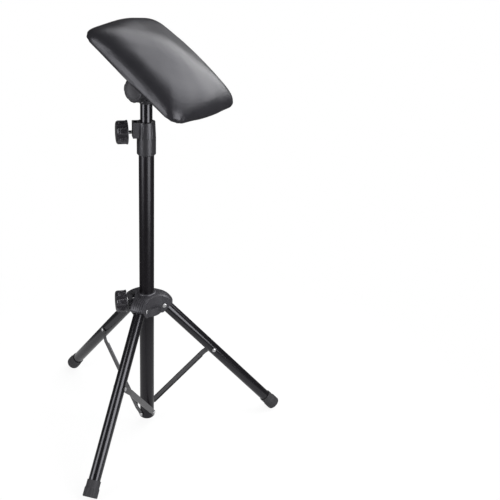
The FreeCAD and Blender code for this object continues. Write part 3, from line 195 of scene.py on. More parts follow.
def moulded(cad_node, edge=MOULD_EDGE, rounds=2):
    """Copy of a piece's own solid with its flats joined up and its sharp edges broken."""
    shape = bmesh.new()
    shape.from_mesh(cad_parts[cad_node].data)
    bmesh.ops.remove_doubles(shape, verts=shape.verts, dist=0.000002)
    bmesh.ops.dissolve_limit(shape, angle_limit=FLAT, verts=shape.verts, edges=shape.edges)
    sharp = [rim for rim in shape.edges if rim.is_manifold and abs(rim.calc_face_angle()) > CORNER]
    bmesh.ops.bevel(shape, geom=sharp, affect="EDGES", offset=edge, segments=rounds, profile=0.5,
                    material=-1, clamp_overlap=True)
    return shape


def weighted(thing):
    """Lets the broad faces of a moulding decide its shading, so that its flats look flat."""
    settle = thing.modifiers.new("flats", "WEIGHTED_NORMAL")
    settle.keep_sharp = True
    return thing


black_moulding = skin("black_moulding", (0.0125, 0.012, 0.014), (0.019, 0.0183, 0.0205), 0.00055, 0.38,
                      0.00002, drift=0.12, shine=0.7)
weighted(piece("collar", moulded("clamp_collar"), Matrix(), black_moulding, "column", "black_plastic",
               "clamp_collar"))

# Clamp screws: bright zinc plated M8 screws moulded into their knobs. The thread is cut for its whole
# length; only the stretch between the knob and the boss shows.
PITCH = 0.00125
THREAD_DEPTH = 0.00068
THREAD_STEPS = 40


def threaded(radius, pitch, depth, length):
    """Threaded rod up the Z axis: one turn's profile wound up and trimmed square at both ends."""
    shape = bmesh.new()
    turns = math.ceil(length / pitch) + 2
    points = [(radius - depth, -pitch / 2), (radius - depth, -pitch * 3 / 8), (radius, -pitch / 16),
              (radius, pitch / 16), (radius - depth, pitch * 3 / 8), (radius - depth, pitch / 2)]
    corners = [shape.verts.new((x, 0, z - pitch)) for x, z in points]
    for corner, following in zip(corners, corners[1:]):
        shape.edges.new((corner, following))
    bmesh.ops.spin(shape, geom=shape.verts[:] + shape.edges[:], cent=(0, 0, 0), axis=(0, 0, 1),
                   dvec=(0, 0, pitch / THREAD_STEPS), angle=math.tau * turns, steps=THREAD_STEPS * turns,
                   use_merge=False, use_duplicate=False)
    bmesh.ops.remove_doubles(shape, verts=shape.verts, dist=0.00001)
    for height, side in ((0, -1), (length, 1)):
        whole = shape.verts[:] + shape.edges[:] + shape.faces[:]
        cut = bmesh.ops.bisect_plane(shape, geom=whole, plane_co=(0, 0, height), plane_no=(0, 0, side),
                                     clear_outer=True)
        bmesh.ops.contextual_create(shape, geom=[part for part in cut["geom_cut"]
                                                 if isinstance(part, bmesh.types.BMEdge)])
    bmesh.ops.recalc_face_normals(shape, faces=shape.faces)
    return shape


bright_zinc = skin("bright_zinc", (0.55, 0.55, 0.56), (0.72, 0.72, 0.73), 0.0012, 0.24, 0.000006,
                   drift=0.16, metal=1.0)
across = Matrix.Rotation(math.radians(-90), 4, "Y")
for name, body in (("collar_screw", "collar_knob"), ("hub_screw", "hub_knob")):
    low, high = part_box(name)
    middle = (low + high) / 2
    rod = threaded((high.z - low.z) / 2, PITCH, THREAD_DEPTH, high.x - low.x)
    piece(name + "_thread", rod, Matrix.Translation((high.x, middle.y, middle.z)) @ across, bright_zinc,
          body, "zinc_steel", name)

# Clamp knobs: black mouldings with a flange, a grip of eight scallops with five fine ribs between
# them, and a rounded face with a ring groove round its slightly hollowed middle.
SCALLOPS = 8
RIBS = 5
RIB_PITCH = math.radians(4.6)
SCALLOP_RADIUS = 0.0075
SCALLOP_DEPTH = 0.0012
SCALLOP_LEAN = math.radians(5)
RIB_DEPTH = 0.0006
KNOB_FLANGE = 0.003
KNOB_STEP = 0.0008
KNOB_CROWN = 0.005
KNOB_DISC = 0.017
KNOB_RING = 0.001
KNOB_RING_DEPTH = 0.0006
KNOB_HOLLOW = 0.015
KNOB_STEPS = 480


def eased(low_end, high_end, value):
    """Rises smoothly from 0 to 1 between two ends."""
    share = min(1.0, max(0.0, (value - low_end) / (high_end - low_end)))
    return share * share * (3 - 2 * share)


def grip_knob(radius, height):
    """Knob from its flange at zero up to its face, its grip scalloped and ribbed."""
    grip_end = height - KNOB_CROWN
    profile = [(0, 0.002, 0), (0.009, 0.002, 0), (0.009, 0, 0.0003), (0.0095, 0, 0), (KNOB_HOLLOW, 0, 0),
               (radius + KNOB_STEP, 0, 0.0004), (radius + KNOB_STEP, KNOB_FLANGE, 0.0005),
               (radius, KNOB_FLANGE, 0)]
    profile += [(radius, KNOB_FLANGE + (grip_end - KNOB_FLANGE) * share / 6, 0) for share in range(1, 6)]
    profile += [(radius, grip_end, 0)]
    profile += [(radius - KNOB_CROWN + KNOB_CROWN * math.cos(math.radians(turn)),
                 grip_end + KNOB_CROWN * math.sin(math.radians(turn))) + (0,) for turn in range(10, 91, 10)]
    profile += [(KNOB_DISC + KNOB_RING, height, 0.0002),
                (KNOB_DISC + KNOB_RING * 0.7, height - KNOB_RING_DEPTH, 0.0001),
                (KNOB_DISC + KNOB_RING * 0.3, height - KNOB_RING_DEPTH, 0.0001), (KNOB_DISC, height, 0.0002),
                (KNOB_DISC * 0.7, height - 0.0004, 0), (KNOB_DISC * 0.35, height - 0.0007, 0),
                (0, height - 0.0008, 0)]
    shape = turned(profile, steps=KNOB_STEPS)
    sector = math.tau / SCALLOPS
    for corner in shape.verts:
        reach = math.hypot(corner.co.x, corner.co.y)
        if reach < KNOB_DISC + KNOB_RING * 1.5 or corner.co.z < KNOB_FLANGE:
            continue
        turn = math.atan2(corner.co.y, corner.co.x)
        aside = (turn + sector / 2) % sector - sector / 2
        depth = SCALLOP_DEPTH + math.tan(SCALLOP_LEAN) * (corner.co.z - KNOB_FLANGE)
        middle = radius + SCALLOP_RADIUS - depth
        inside = SCALLOP_RADIUS ** 2 - (middle * math.sin(aside)) ** 2
        limit = middle * math.cos(aside) - math.sqrt(inside) if inside > 0 else reach
        rib = (turn + sector) % sector - sector / 2
        if abs(rib) < RIB_PITCH * (RIBS / 2 + 0.35):
            wave = 0.5 - 0.5 * math.cos(math.tau * (rib / RIB_PITCH + RIBS / 2 + 0.5))
            groove = RIB_DEPTH * (1 - wave) * eased(KNOB_FLANGE + 0.0001, KNOB_FLANGE + 0.0012, corner.co.z)
            limit = min(limit, radius - groove * (1 - eased(grip_end - 0.0015, grip_end, corner.co.z)))
        if limit < reach:
            corner.co.x *= limit / reach
            corner.co.y *= limit / reach
    return shape


knob_moulding = skin("knob_moulding", (0.0115, 0.0105, 0.0125), (0.017, 0.0158, 0.0185), 0.0005, 0.2,
                     0.00001, drift=0.08, shine=0.9)
KNOB_RADIUS = 0.024
for name in ("collar_knob", "hub_knob"):
    low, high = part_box(name)
    spot = Matrix.Translation((high.x, (low.y + high.y) / 2, (low.z + high.z) / 2))
    piece(name + "_grip", grip_knob(KNOB_RADIUS, high.x - low.x), spot @ across, knob_moulding, name,
          "black_plastic", name)

# Tilt knob: the same moulding a size larger, on the bolt through the neck. The whole head is turned to
# one side on the post and leans forward from there.
HEAD_HEIGHT = 0.782
HEAD_TURN = math.radians(-47.7)
HEAD_LEAN = math.radians(31)
TILT_KNOB_BASE = 0.0187
TILT_KNOB_RADIUS = 0.025
TILT_KNOB_HEIGHT = 0.023
head = (Matrix.Translation((0, 0, HEAD_HEIGHT)) @ Matrix.Rotation(HEAD_TURN, 4, "Z")
        @ Matrix.Rotation(HEAD_LEAN, 4, "Y"))
sideways = Matrix.Translation((0, -TILT_KNOB_BASE, 0)) @ Matrix.Rotation(math.radians(90), 4, "X")
piece("tilt_knob_grip", grip_knob(TILT_KNOB_RADIUS, TILT_KNOB_HEIGHT), head @ sideways, black_moulding,
      "tilt_knob", "black_plastic", "tilt_knob")

# Hub: one black moulding that slides on the column, with an arm over each leg and five grooves along
# the top of every arm. Its skin is a little lighter and shinier than the collar's.
hub_moulding = skin("hub_moulding", (0.02, 0.0193, 0.0225), (0.029, 0.028, 0.0325), 0.00055, 0.4, 0.00002,
                    drift=0.12, shine=0.85)
weighted(piece("hub", moulded("hub_body", edge=0.00035), Matrix(), hub_moulding, "hub", "black_plastic",
               "hub_body"))

# Leg pivots: zinc plated rivets rolled over on both sides of each arm, with a shallow dimple in the
# middle of each head. The rolling leaves the plating duller than on the screws.
rolled_zinc = skin("rolled_zinc", (0.6, 0.6, 0.62), (0.78, 0.78, 0.79), 0.0012, 0.4, 0.000006,
                   drift=0.12, metal=1.0)
AZIMUTHS = (0, 120, 240)
PIVOT_REACH = 0.037
PIVOT_HEIGHT = 0.2955
ARM_HALF = 0.016
PIVOT_HEAD = 0.00475
PIVOT_SHANK = 0.003
LEG_LEAN = math.radians(42.33)


def leg_place(azimuth):
    """Frame of a leg: at its pivot in the hub, with the leg down its own Z axis."""
    spin = Matrix.Rotation(math.radians(azimuth), 4, "Z")
    return spin @ Matrix.Translation((PIVOT_REACH, 0, PIVOT_HEIGHT)) @ Matrix.Rotation(-LEG_LEAN, 4, "Y")


crosswise = Matrix.Rotation(math.radians(-90), 4, "X")
pivots = bmesh.new()
for azimuth in AZIMUTHS:
    rivet = turned([(0, -ARM_HALF - 0.0009, 0), (0.0012, -ARM_HALF - 0.001, 0.0004),
                    (0.0028, -ARM_HALF - 0.0013, 0.0008), (PIVOT_HEAD, -ARM_HALF - 0.0006, 0.0003),
                    (PIVOT_HEAD, -ARM_HALF, 0), (PIVOT_SHANK, -ARM_HALF, 0), (PIVOT_SHANK, ARM_HALF, 0),
                    (PIVOT_HEAD, ARM_HALF, 0), (PIVOT_HEAD, ARM_HALF + 0.0006, 0.0003),
                    (0.0028, ARM_HALF + 0.0013, 0.0008),
                    (0.0012, ARM_HALF + 0.001, 0.0004), (0, ARM_HALF + 0.0009, 0)], steps=64)
    rivet.transform(leg_place(azimuth) @ crosswise)
    held = bpy.data.meshes.new("rivet")
    rivet.to_mesh(held)
    rivet.free()
    pivots.from_mesh(held)
    bpy.data.meshes.remove(held)
piece("pivot_rivets", pivots, Matrix(), rolled_zinc, "hub", "zinc_steel", "hub_rivets")

# Legs: 25 mm steel tubes in gloss black paint, each with a rubber foot, and a zinc rivet through it
# for its brace.
LEG_RADIUS = 0.0125
LEG_WALL = 0.0012
LEG_REACH = 0.403
LEG_STUB = 0.009
FOOT_SOLE = 0.006
FOOT_RADIUS = 0.0155
FOOT_TOP = 0.0143
FOOT_HEIGHT = 0.035
FOOT_FLUTES = 12
FLUTED = 0.018
FLUTE_RUNOUT = 0.003
FLUTE_DEPTH = 0.0009


def rubber_foot():
    """Cup over the end of the leg, its lower part fluted and its sole slightly hollowed."""
    end = -LEG_REACH
    rim = end + FOOT_HEIGHT
    shape = turned([(0, end + 0.0012, 0), (0.006, end + 0.001, 0), (0.0105, end, 0.0008),
                    (FOOT_RADIUS, end, 0.0018), (FOOT_RADIUS, end + 0.0045, 0),
                    (FOOT_RADIUS, end + 0.008, 0), (FOOT_RADIUS, end + 0.012, 0),
                    (FOOT_RADIUS, end + 0.0155, 0), (FOOT_RADIUS, end + FLUTED, 0.0009),
                    (FOOT_TOP, end + FLUTED + FLUTE_RUNOUT, 0.0009), (FOOT_TOP, rim, 0.0007),
                    (LEG_RADIUS, rim, 0.0002),
                    (LEG_RADIUS, end + FOOT_SOLE, 0), (0, end + FOOT_SOLE, 0)], steps=144)
    for corner in shape.verts:
        reach = math.hypot(corner.co.x, corner.co.y)
        above = corner.co.z - end
        if reach > FOOT_TOP - 0.0002 and above < FLUTED + FLUTE_RUNOUT:
            turn = math.atan2(corner.co.y, corner.co.x) * FOOT_FLUTES
            dip = max(0.0, math.cos(turn)) ** 0.8
            fade = 1 - eased(FLUTED - 0.001, FLUTED + 0.0025, above)
            shrink = 1 - FLUTE_DEPTH * dip * fade * eased(0.0015, 0.004, above) / reach
            corner.co.x *= shrink
            corner.co.y *= shrink
    return shape


gloss_paint = skin("gloss_paint", (0.0042, 0.0038, 0.0048), (0.0056, 0.0052, 0.0064), 0.0014, 0.2, 0.000006,
                   drift=0.04, shine=0.62)
rubber = skin("rubber", (0.016, 0.0155, 0.017), (0.026, 0.0255, 0.027), 0.0007, 0.62, 0.00003, shine=0.4)
strip_paint = skin("strip_paint", (0.024, 0.0235, 0.024), (0.032, 0.0315, 0.032), 0.0009, 0.34, 0.00001,
                   shine=0.95)
BRACE_DOWN = 0.173
BRACE_GAP = 0.0003
BRACE_THICK = 0.0015
PIN_PLAY = 0.0001
PIN_HEAD = 0.0043
PIN_SHANK = 0.0025
for number, azimuth in enumerate(AZIMUTHS, start=1):
    body = f"leg_{number}"
    spot = leg_place(azimuth)
    piece(f"leg_pipe_{number}", pipe(FOOT_SOLE - LEG_REACH, LEG_STUB, LEG_RADIUS, LEG_WALL), spot,
          gloss_paint, body, "painted_tube", f"leg_tube_{number}")
    piece(f"rubber_foot_{number}", rubber_foot(), spot, rubber, body, "rubber", f"foot_{number}")
    reach = LEG_RADIUS + BRACE_GAP + BRACE_THICK + PIN_PLAY
    rivet = turned([(0, -LEG_RADIUS - 0.0013, 0), (0.0022, -LEG_RADIUS - 0.0011, 0.0003),
                    (PIN_HEAD, -LEG_RADIUS - 0.0002, 0.0003), (PIN_HEAD, -LEG_RADIUS + 0.0006, 0),
                    (PIN_SHANK, -LEG_RADIUS + 0.0006, 0), (PIN_SHANK, reach, 0), (PIN_HEAD, reach, 0),
                    (PIN_HEAD, reach + 0.0004, 0.0003), (0.0024, reach + 0.0013, 0.0004),
                    (0, reach + 0.0013, 0)], steps=64)
    piece(f"brace_pin_{number}", rivet, spot @ Matrix.Translation((0, 0, -BRACE_DOWN)) @ crosswise,
          rolled_zinc, body, "zinc_steel", f"leg_rivet_{number}")
    weighted(piece(f"brace_strip_{number}", moulded(f"brace_{number}", edge=0.00025), Matrix(), strip_paint,
                   f"brace_{number}", "brace_strip", f"brace_{number}"))
    piece(f"column_pin_{number}", moulded(f"brace_rivet_{number}", edge=0.00015), Matrix(), bright_zinc,
          f"brace_{number}", "zinc_steel", f"brace_rivet_{number}")

# Post: 25 mm tube in the legs' gloss black, from deep inside the column up into the neck.
low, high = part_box("post_tube")
piece("post_pipe", pipe(low.z, high.z, LEG_RADIUS, COLUMN_WALL), Matrix(), gloss_paint, "head",
      "painted_tube", "post_tube")

# Neck and bracket: two mouldings. The neck caps the post and its tongue stands between the bracket's
# ears, with the tilt bolt through all three.
weighted(piece("neck", moulded("tilt_neck"), Matrix(), black_moulding, "head", "black_plastic", "tilt_neck"))
weighted(piece("bracket", moulded("tilt_bracket"), Matrix(), black_moulding, "rest", "black_plastic",
               "tilt_bracket"))

# Pad: foam over a board, wrapped in thin black leather cloth that is pulled round under it. The cover
# swells between the corners, and its underside stays flat against the board.
VOXEL = 0.004
SWELL_CAP = 0.0035
CROWN_PRESSURE = 4.0
CORNER_FILL = 0.004
SLACK_SHARE = 0.994
PLEATS = 4
PLEAT_DEPTH = 0.0011
PLEAT_INSET = 0.04
BOARD_SIDE = 0.003
SIM_FRAMES = 20


def cushion_form():
    """Closed form of the padded rest in its own level frame, a little smaller than when it is full."""
    shape = bmesh.new()
    shape.from_mesh(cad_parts["pad_cover"].data)
    shape.transform(head.inverted())
    bmesh.ops.remove_doubles(shape, verts=shape.verts, dist=0.00005)
    hull = bmesh.ops.convex_hull(shape, input=shape.verts)
    bmesh.ops.delete(shape, geom=list({*hull["geom_interior"], *hull["geom_unused"]}), context="VERTS")
    bmesh.ops.recalc_face_normals(shape, faces=shape.faces)
    return shape


form = cushion_form()
low = Vector([min(corner.co[axis] for corner in form.verts) for axis in range(3)])
high = Vector([max(corner.co[axis] for corner in form.verts) for axis in range(3)])
middle = (low + high) / 2
half = (high - low) / 2
for corner in form.verts:
    along_share = (corner.co.x - middle.x) / half.x
    across_share = (corner.co.y - middle.y) / half.y
    fill = CORNER_FILL * eased(0.5, 0.95, abs(along_share)) * eased(0.5, 0.95, abs(across_share))
    corner.co.x = middle.x + (corner.co.x - middle.x) * SLACK_SHARE + math.copysign(fill, along_share)
    corner.co.y = middle.y + (corner.co.y - middle.y) * SLACK_SHARE + math.copysign(fill, across_share)
    corner.co.z = low.z + (corner.co.z - low.z) * SLACK_SHARE
cushion_mesh = bpy.data.meshes.new("cushion")
form.to_mesh(cushion_mesh)
form.free()
cushion = bpy.data.objects.new("cushion", cushion_mesh)
bpy.context.scene.collection.objects.link(cushion)
bpy.context.view_layer.objects.active = cushion
cushion.select_set(True)


def applied(thing):
    """Replaces a mesh by what its modifiers make of it."""
    ready = bpy.data.meshes.new_from_object(thing.evaluated_get(bpy.context.evaluated_depsgraph_get()))
    thing.modifiers.clear()
    thing.data = ready


remesh = cushion.modifiers.new("even_mesh", "REMESH")
remesh.mode = "VOXEL"
remesh.voxel_size = VOXEL
applied(cushion)
start = [corner.co.copy() for corner in cushion.data.vertices]
flat = cushion.vertex_groups.new(name="flat")
resting = [corner.index for corner in cushion.data.vertices if corner.co.z < low.z + BOARD_SIDE]
flat.add(resting, 1.0, "REPLACE")
cloth = cushion.modifiers.new("cover", "CLOTH")
cloth.settings.vertex_group_mass = "flat"
cloth.settings.use_pressure = True
cloth.settings.uniform_pressure_force = CROWN_PRESSURE
cloth.settings.effector_weights.gravity = 0
cloth.settings.tension_stiffness = 25
cloth.settings.compression_stiffness = 20
cloth.settings.bending_stiffness = 2
cloth.point_cache.frame_start = 1
cloth.point_cache.frame_end = SIM_FRAMES
for moment in range(1, SIM_FRAMES + 1):
    bpy.context.scene.frame_set(moment)
applied(cushion)
bpy.context.scene.frame_set(1)
cover = bmesh.new()
cover.from_mesh(cushion.data)
cover.verts.ensure_lookup_table()
for corner, before in zip(cover.verts, start):
    moved = corner.co - before
    if moved.length > SWELL_CAP:
        corner.co = before + moved.normalized() * SWELL_CAP
bmesh.ops.subdivide_edges(cover, edges=cover.edges, cuts=1, use_grid_fill=True, smooth=1.0)
free = [corner for corner in cover.verts if corner.co.z > low.z + 0.004]
bmesh.ops.smooth_vert(cover, verts=free, factor=0.5, use_axis_x=True, use_axis_y=True, use_axis_z=True)
for corner in cover.verts:
    across_share = (corner.co.y - middle.y) / half.y
    along_share = (corner.co.x - middle.x) / half.x
    height = corner.co.z - low.z
    near = eased(0.72, 0.9, abs(across_share)) * eased(0.72, 0.9, abs(along_share))
    outward = Vector((corner.co.x - middle.x - math.copysign(half.x - PLEAT_INSET, along_share),
                      corner.co.y - middle.y - math.copysign(half.y - PLEAT_INSET, across_share), 0))
    if near > 0 and outward.length > 0.01:
        turn = math.atan2(abs(outward.y), abs(outward.x))
        fold = math.cos(turn * PLEATS * 4)
        fade = 1 - eased(0.002, 0.02, height)
        corner.co -= outward.normalized() * PLEAT_DEPTH * near * (0.5 + 0.5 * fold) * fade
    if height > 0.004:
        slack = noise.noise(corner.co * 14) * 0.0007 + noise.noise(corner.co * 45) * 0.0002
        corner.co += corner.normal * slack
bpy.data.objects.remove(cushion)

LEATHER_GRAIN = 0.0006
LEATHER_RELIEF = 0.000035
PEBBLES_PER_METRE = 720.0
leather = bpy.data.materials.new("leather")
leather.use_nodes = True
tree = leather.node_tree
surface = tree.nodes["Principled BSDF"]
coordinates = node(tree, "ShaderNodeTexCoord").outputs["Object"]
look = node(tree, "ShaderNodeGroup", {"node_tree": speckle}, Grain=LEATHER_GRAIN, Gloss=0.34, Drift=0.08)
pebbles = node(tree, "ShaderNodeTexVoronoi", {"feature": "DISTANCE_TO_EDGE"}, Vector=coordinates,
               Scale=PEBBLES_PER_METRE)
raised = node(tree, "ShaderNodeMapRange", Value=pebbles.outputs[0])
raised.inputs[2].default_value = 0.35
grain = node(tree, "ShaderNodeMath", {"operation": "MULTIPLY_ADD"}, _0=look.outputs["Height"], _1=0.35,
             _2=raised.outputs[0])
tone = node(tree, "ShaderNodeMix", {"data_type": "RGBA"}, Factor=look.outputs["Patch"])
tone.inputs[6].default_value = (0.0108, 0.0105, 0.0125, 1)
tone.inputs[7].default_value = (0.0155, 0.015, 0.0178, 1)
bump = node(tree, "ShaderNodeBump", Strength=1.0, Distance=LEATHER_RELIEF, Height=grain.outputs[0])
tree.links.new(tone.outputs[2], surface.inputs["Base Color"])
tree.links.new(look.outputs["Roughness"], surface.inputs["Roughness"])
tree.links.new(bump.outputs[0], surface.inputs["Normal"])
surface.inputs["Specular Tint"].default_value = (*COOL, 1)
pad = piece("arm_pad", cover, head, leather, "rest", "cover_leather", "pad_cover", "pad_foam", crease=80)

# Dust cloth: thin black felt stapled over the folded edges of the cover, under the board.
STAPLE_PITCH = 0.034
STAPLE_INSET = 0.0045
STAPLE_CROWN = 0.0105
STAPLE_WIRE = 0.0011
STAPLE_STRAY = 0.001
STAPLE_TILT = 3
CLOTH_THICK = 0.0005
level_spots = [head.inverted() @ corner.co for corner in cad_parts["dust_cloth"].data.vertices]
cloth_low = Vector([min(spot[axis] for spot in level_spots) for axis in range(3)])
cloth_high = Vector([max(spot[axis] for spot in level_spots) for axis in range(3)])
CLOTH_LENGTH, CLOTH_WIDTH, _ = cloth_high - cloth_low
cloth_middle = (cloth_low + cloth_high) / 2
sheet = bmesh.new()
bmesh.ops.create_grid(sheet, x_segments=44, y_segments=31, size=0.5)
bmesh.ops.scale(sheet, verts=sheet.verts, vec=(CLOTH_LENGTH, CLOTH_WIDTH, 1))
for corner in sheet.verts:
    rim = min(CLOTH_LENGTH / 2 - abs(corner.co.x), CLOTH_WIDTH / 2 - abs(corner.co.y))
    along = corner.co.x if abs(corner.co.y) > CLOTH_WIDTH / 2 - rim - 0.0001 else corner.co.y
    pucker = math.cos(math.tau * along / STAPLE_PITCH) * 0.0003 * (1 - eased(0, 0.02, rim))
    sag = 0.0004 * noise.noise(corner.co * 40)
    corner.co.z = pucker * 0.5 + sag * eased(0.0, 0.03, rim)
    corner.co += Vector((cloth_middle.x, cloth_middle.y, cloth_low.z + 0.0002))
felt = skin("felt", (0.012, 0.012, 0.013), (0.022, 0.022, 0.023), 0.0005, 0.9, 0.00008, shine=0.2)
cloth_piece = piece("underside_felt", sheet, head, felt, "rest", "dust_cloth", "dust_cloth", crease=80)
thick = cloth_piece.modifiers.new("thickness", "SOLIDIFY")
thick.thickness = CLOTH_THICK
thick.offset = 0

# Staples: flat zinc wire driven through the felt round its whole edge, parallel to that edge.
staples = bmesh.new()
reach_x = CLOTH_LENGTH / 2 - STAPLE_INSET
reach_y = CLOTH_WIDTH / 2 - STAPLE_INSET
for side_reach, other_reach, quarter in ((reach_x, reach_y, 0), (reach_y, reach_x, 1)):
    gaps = round(2 * side_reach / STAPLE_PITCH)
    for edge in (-1, 1):
        for number in range(gaps):
            stray = STAPLE_STRAY * math.sin(number * 5 + edge + quarter)
            along = ((number + 0.5) / gaps * 2 - 1) * side_reach + stray
            staple = bmesh.ops.create_cube(staples, size=1)["verts"]
            bmesh.ops.scale(staples, verts=staple, vec=(STAPLE_CROWN, STAPLE_WIRE, STAPLE_WIRE / 2))
            tips = [tip for tip in {rim for corner in staple for rim in corner.link_edges}
                    if abs(tip.verts[0].co.x - tip.verts[1].co.x) < STAPLE_WIRE
                    and abs(tip.verts[0].co.y - tip.verts[1].co.y) > STAPLE_WIRE / 2
                    and (tip.verts[0].co.z + tip.verts[1].co.z) < 0]
            shaped = bmesh.ops.bevel(staples, geom=tips, affect="EDGES", offset=STAPLE_WIRE * 0.4, segments=3,
                                     profile=0.5, material=-1)
            staple = list({*[corner for corner in staple if corner.is_valid], *shaped["verts"]})
            tilt = 90 * quarter + STAPLE_TILT * math.sin(number * 3 + edge)
            tip_turn = Matrix.Rotation(math.radians(tilt), 4, "Z")
            place = Vector((edge * other_reach, along)) if quarter else Vector((along, edge * other_reach))
            spot = Matrix.Translation((cloth_middle.x + place.x, cloth_middle.y + place.y,
                                       cloth_low.z - CLOTH_THICK / 2 - STAPLE_WIRE / 8))
            bmesh.ops.transform(staples, matrix=spot @ tip_turn, verts=staple)
piece("staples", staples, head, bright_zinc, "rest", "zinc_steel")

# Thumb screw and washer that hold the pad's board on the plate of the bracket.
THUMB_ALONG = 0.047
THUMB_WASHER_TOP = 0.0416
THUMB_RADIUS = 0.011
THUMB_NECK = 0.0045
THUMB_RIDGES = 24
RIDGE_DEPTH = 0.0006
WASHER_THICK = 0.0012
WASHER_PLAY = 0.0001
WASHER_BORE = 0.0031
WASHER_RADIUS = 0.007
below = head @ Matrix.Translation((THUMB_ALONG, 0, THUMB_WASHER_TOP)) @ Matrix.Rotation(math.pi, 4, "X")
washer = turned([(WASHER_BORE, 0, 0), (WASHER_RADIUS, 0, 0.0002), (WASHER_RADIUS, WASHER_THICK, 0.0003),
                 (WASHER_BORE, WASHER_THICK, 0)], closed=True, steps=64)
piece("thumb_washer_ring", washer, below, bright_zinc, "thumb_washer", "zinc_steel", "thumb_washer")
knurled = turned([(0, 0, 0), (THUMB_NECK, 0, 0.0003), (THUMB_NECK, 0.0026, 0.0005), (0.0085, 0.0026, 0.0004),
                  (THUMB_RADIUS, 0.0051, 0.0008), (THUMB_RADIUS, 0.007, 0), (THUMB_RADIUS, 0.012, 0),
                  (THUMB_RADIUS, 0.0165, 0), (THUMB_RADIUS, 0.0181, 0.0006), (0.0085, 0.0206, 0.0008),
                  (0.006, 0.0201, 0.0003), (0, 0.0201, 0)], steps=THUMB_RIDGES * 12)
for corner in knurled.verts:
    reach = math.hypot(corner.co.x, corner.co.y)
    if reach > THUMB_RADIUS - 0.0012:
        wave = 0.5 + 0.5 * math.cos(math.atan2(corner.co.y, corner.co.x) * THUMB_RIDGES)
        shrink = 1 - RIDGE_DEPTH * (1 - wave) / reach
        corner.co.x *= shrink
        corner.co.y *= shrink
knob_top = THUMB_WASHER_TOP - (WASHER_THICK + WASHER_PLAY)
knob_spot = head @ Matrix.Translation((THUMB_ALONG, 0, knob_top)) @ Matrix.Rotation(math.pi, 4, "X")
piece("thumb_grip", knurled, knob_spot, black_moulding, "thumb_knob", "black_plastic", "thumb_knob")

# What hardly shows keeps its own solid and takes the finish that it would have.
brass = skin("brass", (0.52, 0.36, 0.13), (0.66, 0.47, 0.2), 0.001, 0.3, 0.000006, metal=1.0)
plywood = skin("plywood", (0.38, 0.25, 0.13), (0.52, 0.36, 0.2), 0.003, 0.7, 0.0001)
inner = {
    nylon_black: ("collar_shoe", "hub_shoe", "post_bush"),
    bright_zinc: ("collar_nut", "hub_nut", "neck_pin", "tilt_bolt", "tilt_washer", "thumb_screw", "tee_nut",
                  "keeper_strip", "keeper_screws"),
    brass: ("tilt_insert",),
    plywood: ("pad_board",),
}
for material, names in inner.items():
    for name in names:
        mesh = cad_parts[name].data
        mesh.materials.clear()
        mesh.materials.append(material)

# Studio: white paper under and behind the stand, a tall soft box on either side of the camera and a
# wide one above on the right, all at a plain level. In reflections the paper is a painted reflection: it
# glows bright round the stand and dimmer towards the edges of the room, instead of being lit.
FLOOR_HEIGHT = -0.0131
PAPER_SIZE = 8.0
SHADOW_SHARE = 0.12
# Glow of the paper as reflections see it, near the stand and far off: a painted reflection, not lit by the
# lamps.
PAPER_GLOW_NEAR = 0.6
PAPER_GLOW_FAR = 0.1
ROOM = 0.06
AMBIENT = 0.3
floor_shape = bmesh.new()
bmesh.ops.create_grid(floor_shape, x_segments=8, y_segments=8, size=PAPER_SIZE)
floor_mesh = bpy.data.meshes.new("floor")
floor_shape.to_mesh(floor_mesh)
floor_shape.free()
floor_mesh.transform(Matrix.Translation((0, 0, FLOOR_HEIGHT)))
floor = bpy.data.objects.new("floor", floor_mesh)
bpy.context.scene.collection.objects.link(floor)
paper = bpy.data.materials.new("paper")
paper.use_nodes = True
tree = paper.node_tree
sheen = tree.nodes["Principled BSDF"]
sheen.inputs["Base Color"].default_value = (0.86, 0.86, 0.86, 1)
sheen.inputs["Roughness"].default_value = 0.9
sheen.inputs["Specular IOR Level"].default_value = 0.0
distance = node(tree, "ShaderNodeVectorMath", {"operation": "LENGTH"},
                _0=node(tree, "ShaderNodeTexCoord").outputs["Object"]).outputs["Value"]


def falling(tree, value, ends, levels):
    """Goes smoothly from one level to another as a value goes from one end to the other."""
    ramp = node(tree, "ShaderNodeMapRange", {"interpolation_type": "SMOOTHSTEP"}, Value=value)
    for index, number in enumerate((*ends, *levels), start=1):
        ramp.inputs[index].default_value = number
    return ramp.outputs[0]


rays = node(tree, "ShaderNodeLightPath")
glossy = rays.outputs["Is Glossy Ray"]
seen = node(tree, "ShaderNodeMath", {"operation": "MAXIMUM"}, _0=rays.outputs["Is Camera Ray"],
            _1=rays.outputs["Is Transmission Ray"]).outputs[0]
shown = node(tree, "ShaderNodeMath", {"operation": "MULTIPLY"}, _0=seen,
             _1=falling(tree, distance, (0.25, 0.9), (1 - SHADOW_SHARE, 1.0))).outputs[0]
share = node(tree, "ShaderNodeMath", {"operation": "MAXIMUM"}, _0=shown, _1=glossy).outputs[0]
# Reflected rays see the paper as a glow instead of lit paper: a painted reflection, bright near the stand and
# dim far off.
strength = node(tree, "ShaderNodeMix", {"data_type": "FLOAT"}, _0=glossy, _2=1.0,
                _3=falling(tree, distance, (0.38, 0.66), (PAPER_GLOW_NEAR, PAPER_GLOW_FAR))).outputs[0]
glow = node(tree, "ShaderNodeEmission", Color=(1, 1, 1, 1), Strength=strength)
mixed = node(tree, "ShaderNodeMixShader", _0=share, _1=sheen.outputs[0], _2=glow.outputs[0])
tree.links.new(mixed.outputs[0], tree.nodes["Material Output"].inputs[0])
floor_mesh.materials.append(paper)

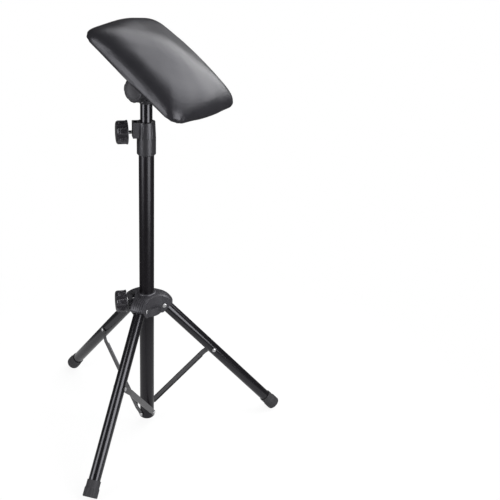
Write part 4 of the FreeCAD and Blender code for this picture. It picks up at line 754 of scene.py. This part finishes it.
world = bpy.data.worlds.new("studio")
bpy.context.scene.world = world
world.use_nodes = True
tree = world.node_tree
tree.nodes.clear()
rays = node(tree, "ShaderNodeLightPath")
seen = node(tree, "ShaderNodeMath", {"operation": "MAXIMUM"}, _0=rays.outputs["Is Camera Ray"],
            _1=rays.outputs["Is Transmission Ray"]).outputs[0]
plain = node(tree, "ShaderNodeMix", {"data_type": "FLOAT"}, _0=rays.outputs["Is Glossy Ray"], _2=AMBIENT,
             _3=ROOM).outputs[0]
level = node(tree, "ShaderNodeMath", {"operation": "MAXIMUM"}, _0=plain, _1=seen).outputs[0]
back = node(tree, "ShaderNodeBackground", Color=(1, 1, 1, 1), Strength=level)
out = tree.nodes.new("ShaderNodeOutputWorld")
tree.links.new(back.outputs[0], out.inputs[0])


def soft_box(name, spot, aim, width, height, radiance):
    """Area light of that width and height, aimed at a point and out of the camera's sight."""
    light = bpy.data.lights.new(name, "AREA")
    light.shape = "RECTANGLE"
    light.size = width
    light.size_y = height
    light.energy = radiance * math.pi * width * height
    holder = bpy.data.objects.new(name, light)
    bpy.context.scene.collection.objects.link(holder)
    holder.location = spot
    holder.rotation_mode = "QUATERNION"
    holder.rotation_quaternion = (Vector(aim) - Vector(spot)).to_track_quat("-Z", "Y")
    holder.visible_camera = False
    return holder


soft_box("right_box", (0.83, -1.37, 1.0), (0, 0, 1.0), 0.95, 1.8, 5.4)
soft_box("left_box", (-1.45, -0.68, 1.15), (0, 0, 1.15), 0.8, 1.8, 4.7)
soft_box("top_box", (1.045, 0.422, 1.99), (0.03, -0.03, 0.84), 2.1, 2.3, 3.8)

# Camera: where the photograph was taken from, just above the pad's height and nearly two metres away.
CAMERA_SPOT = Vector((-0.2375, -1.7685, 1.22856))
HEADING = math.radians(14.824)
PITCH_DOWN = math.radians(24.081)
ROLL = math.radians(2.797)
FOCAL_LENGTH = 64.83
SENSOR_WIDTH = 36
forward = Vector((math.sin(HEADING) * math.cos(PITCH_DOWN), math.cos(HEADING) * math.cos(PITCH_DOWN),
                  -math.sin(PITCH_DOWN)))
level_right = Vector((math.cos(HEADING), -math.sin(HEADING), 0))
level_up = level_right.cross(forward)
right = math.cos(ROLL) * level_right + math.sin(ROLL) * level_up
up = math.cos(ROLL) * level_up - math.sin(ROLL) * level_right
lens = bpy.data.cameras.new("camera")
lens.lens = FOCAL_LENGTH
lens.sensor_width = SENSOR_WIDTH
camera = bpy.data.objects.new("camera", lens)
bpy.context.scene.collection.objects.link(camera)
camera.matrix_world = Matrix.Translation(CAMERA_SPOT) @ Matrix((right, up, -forward)).transposed().to_4x4()
bpy.context.scene.camera = camera
bpy.context.scene.view_settings.view_transform = "Standard"
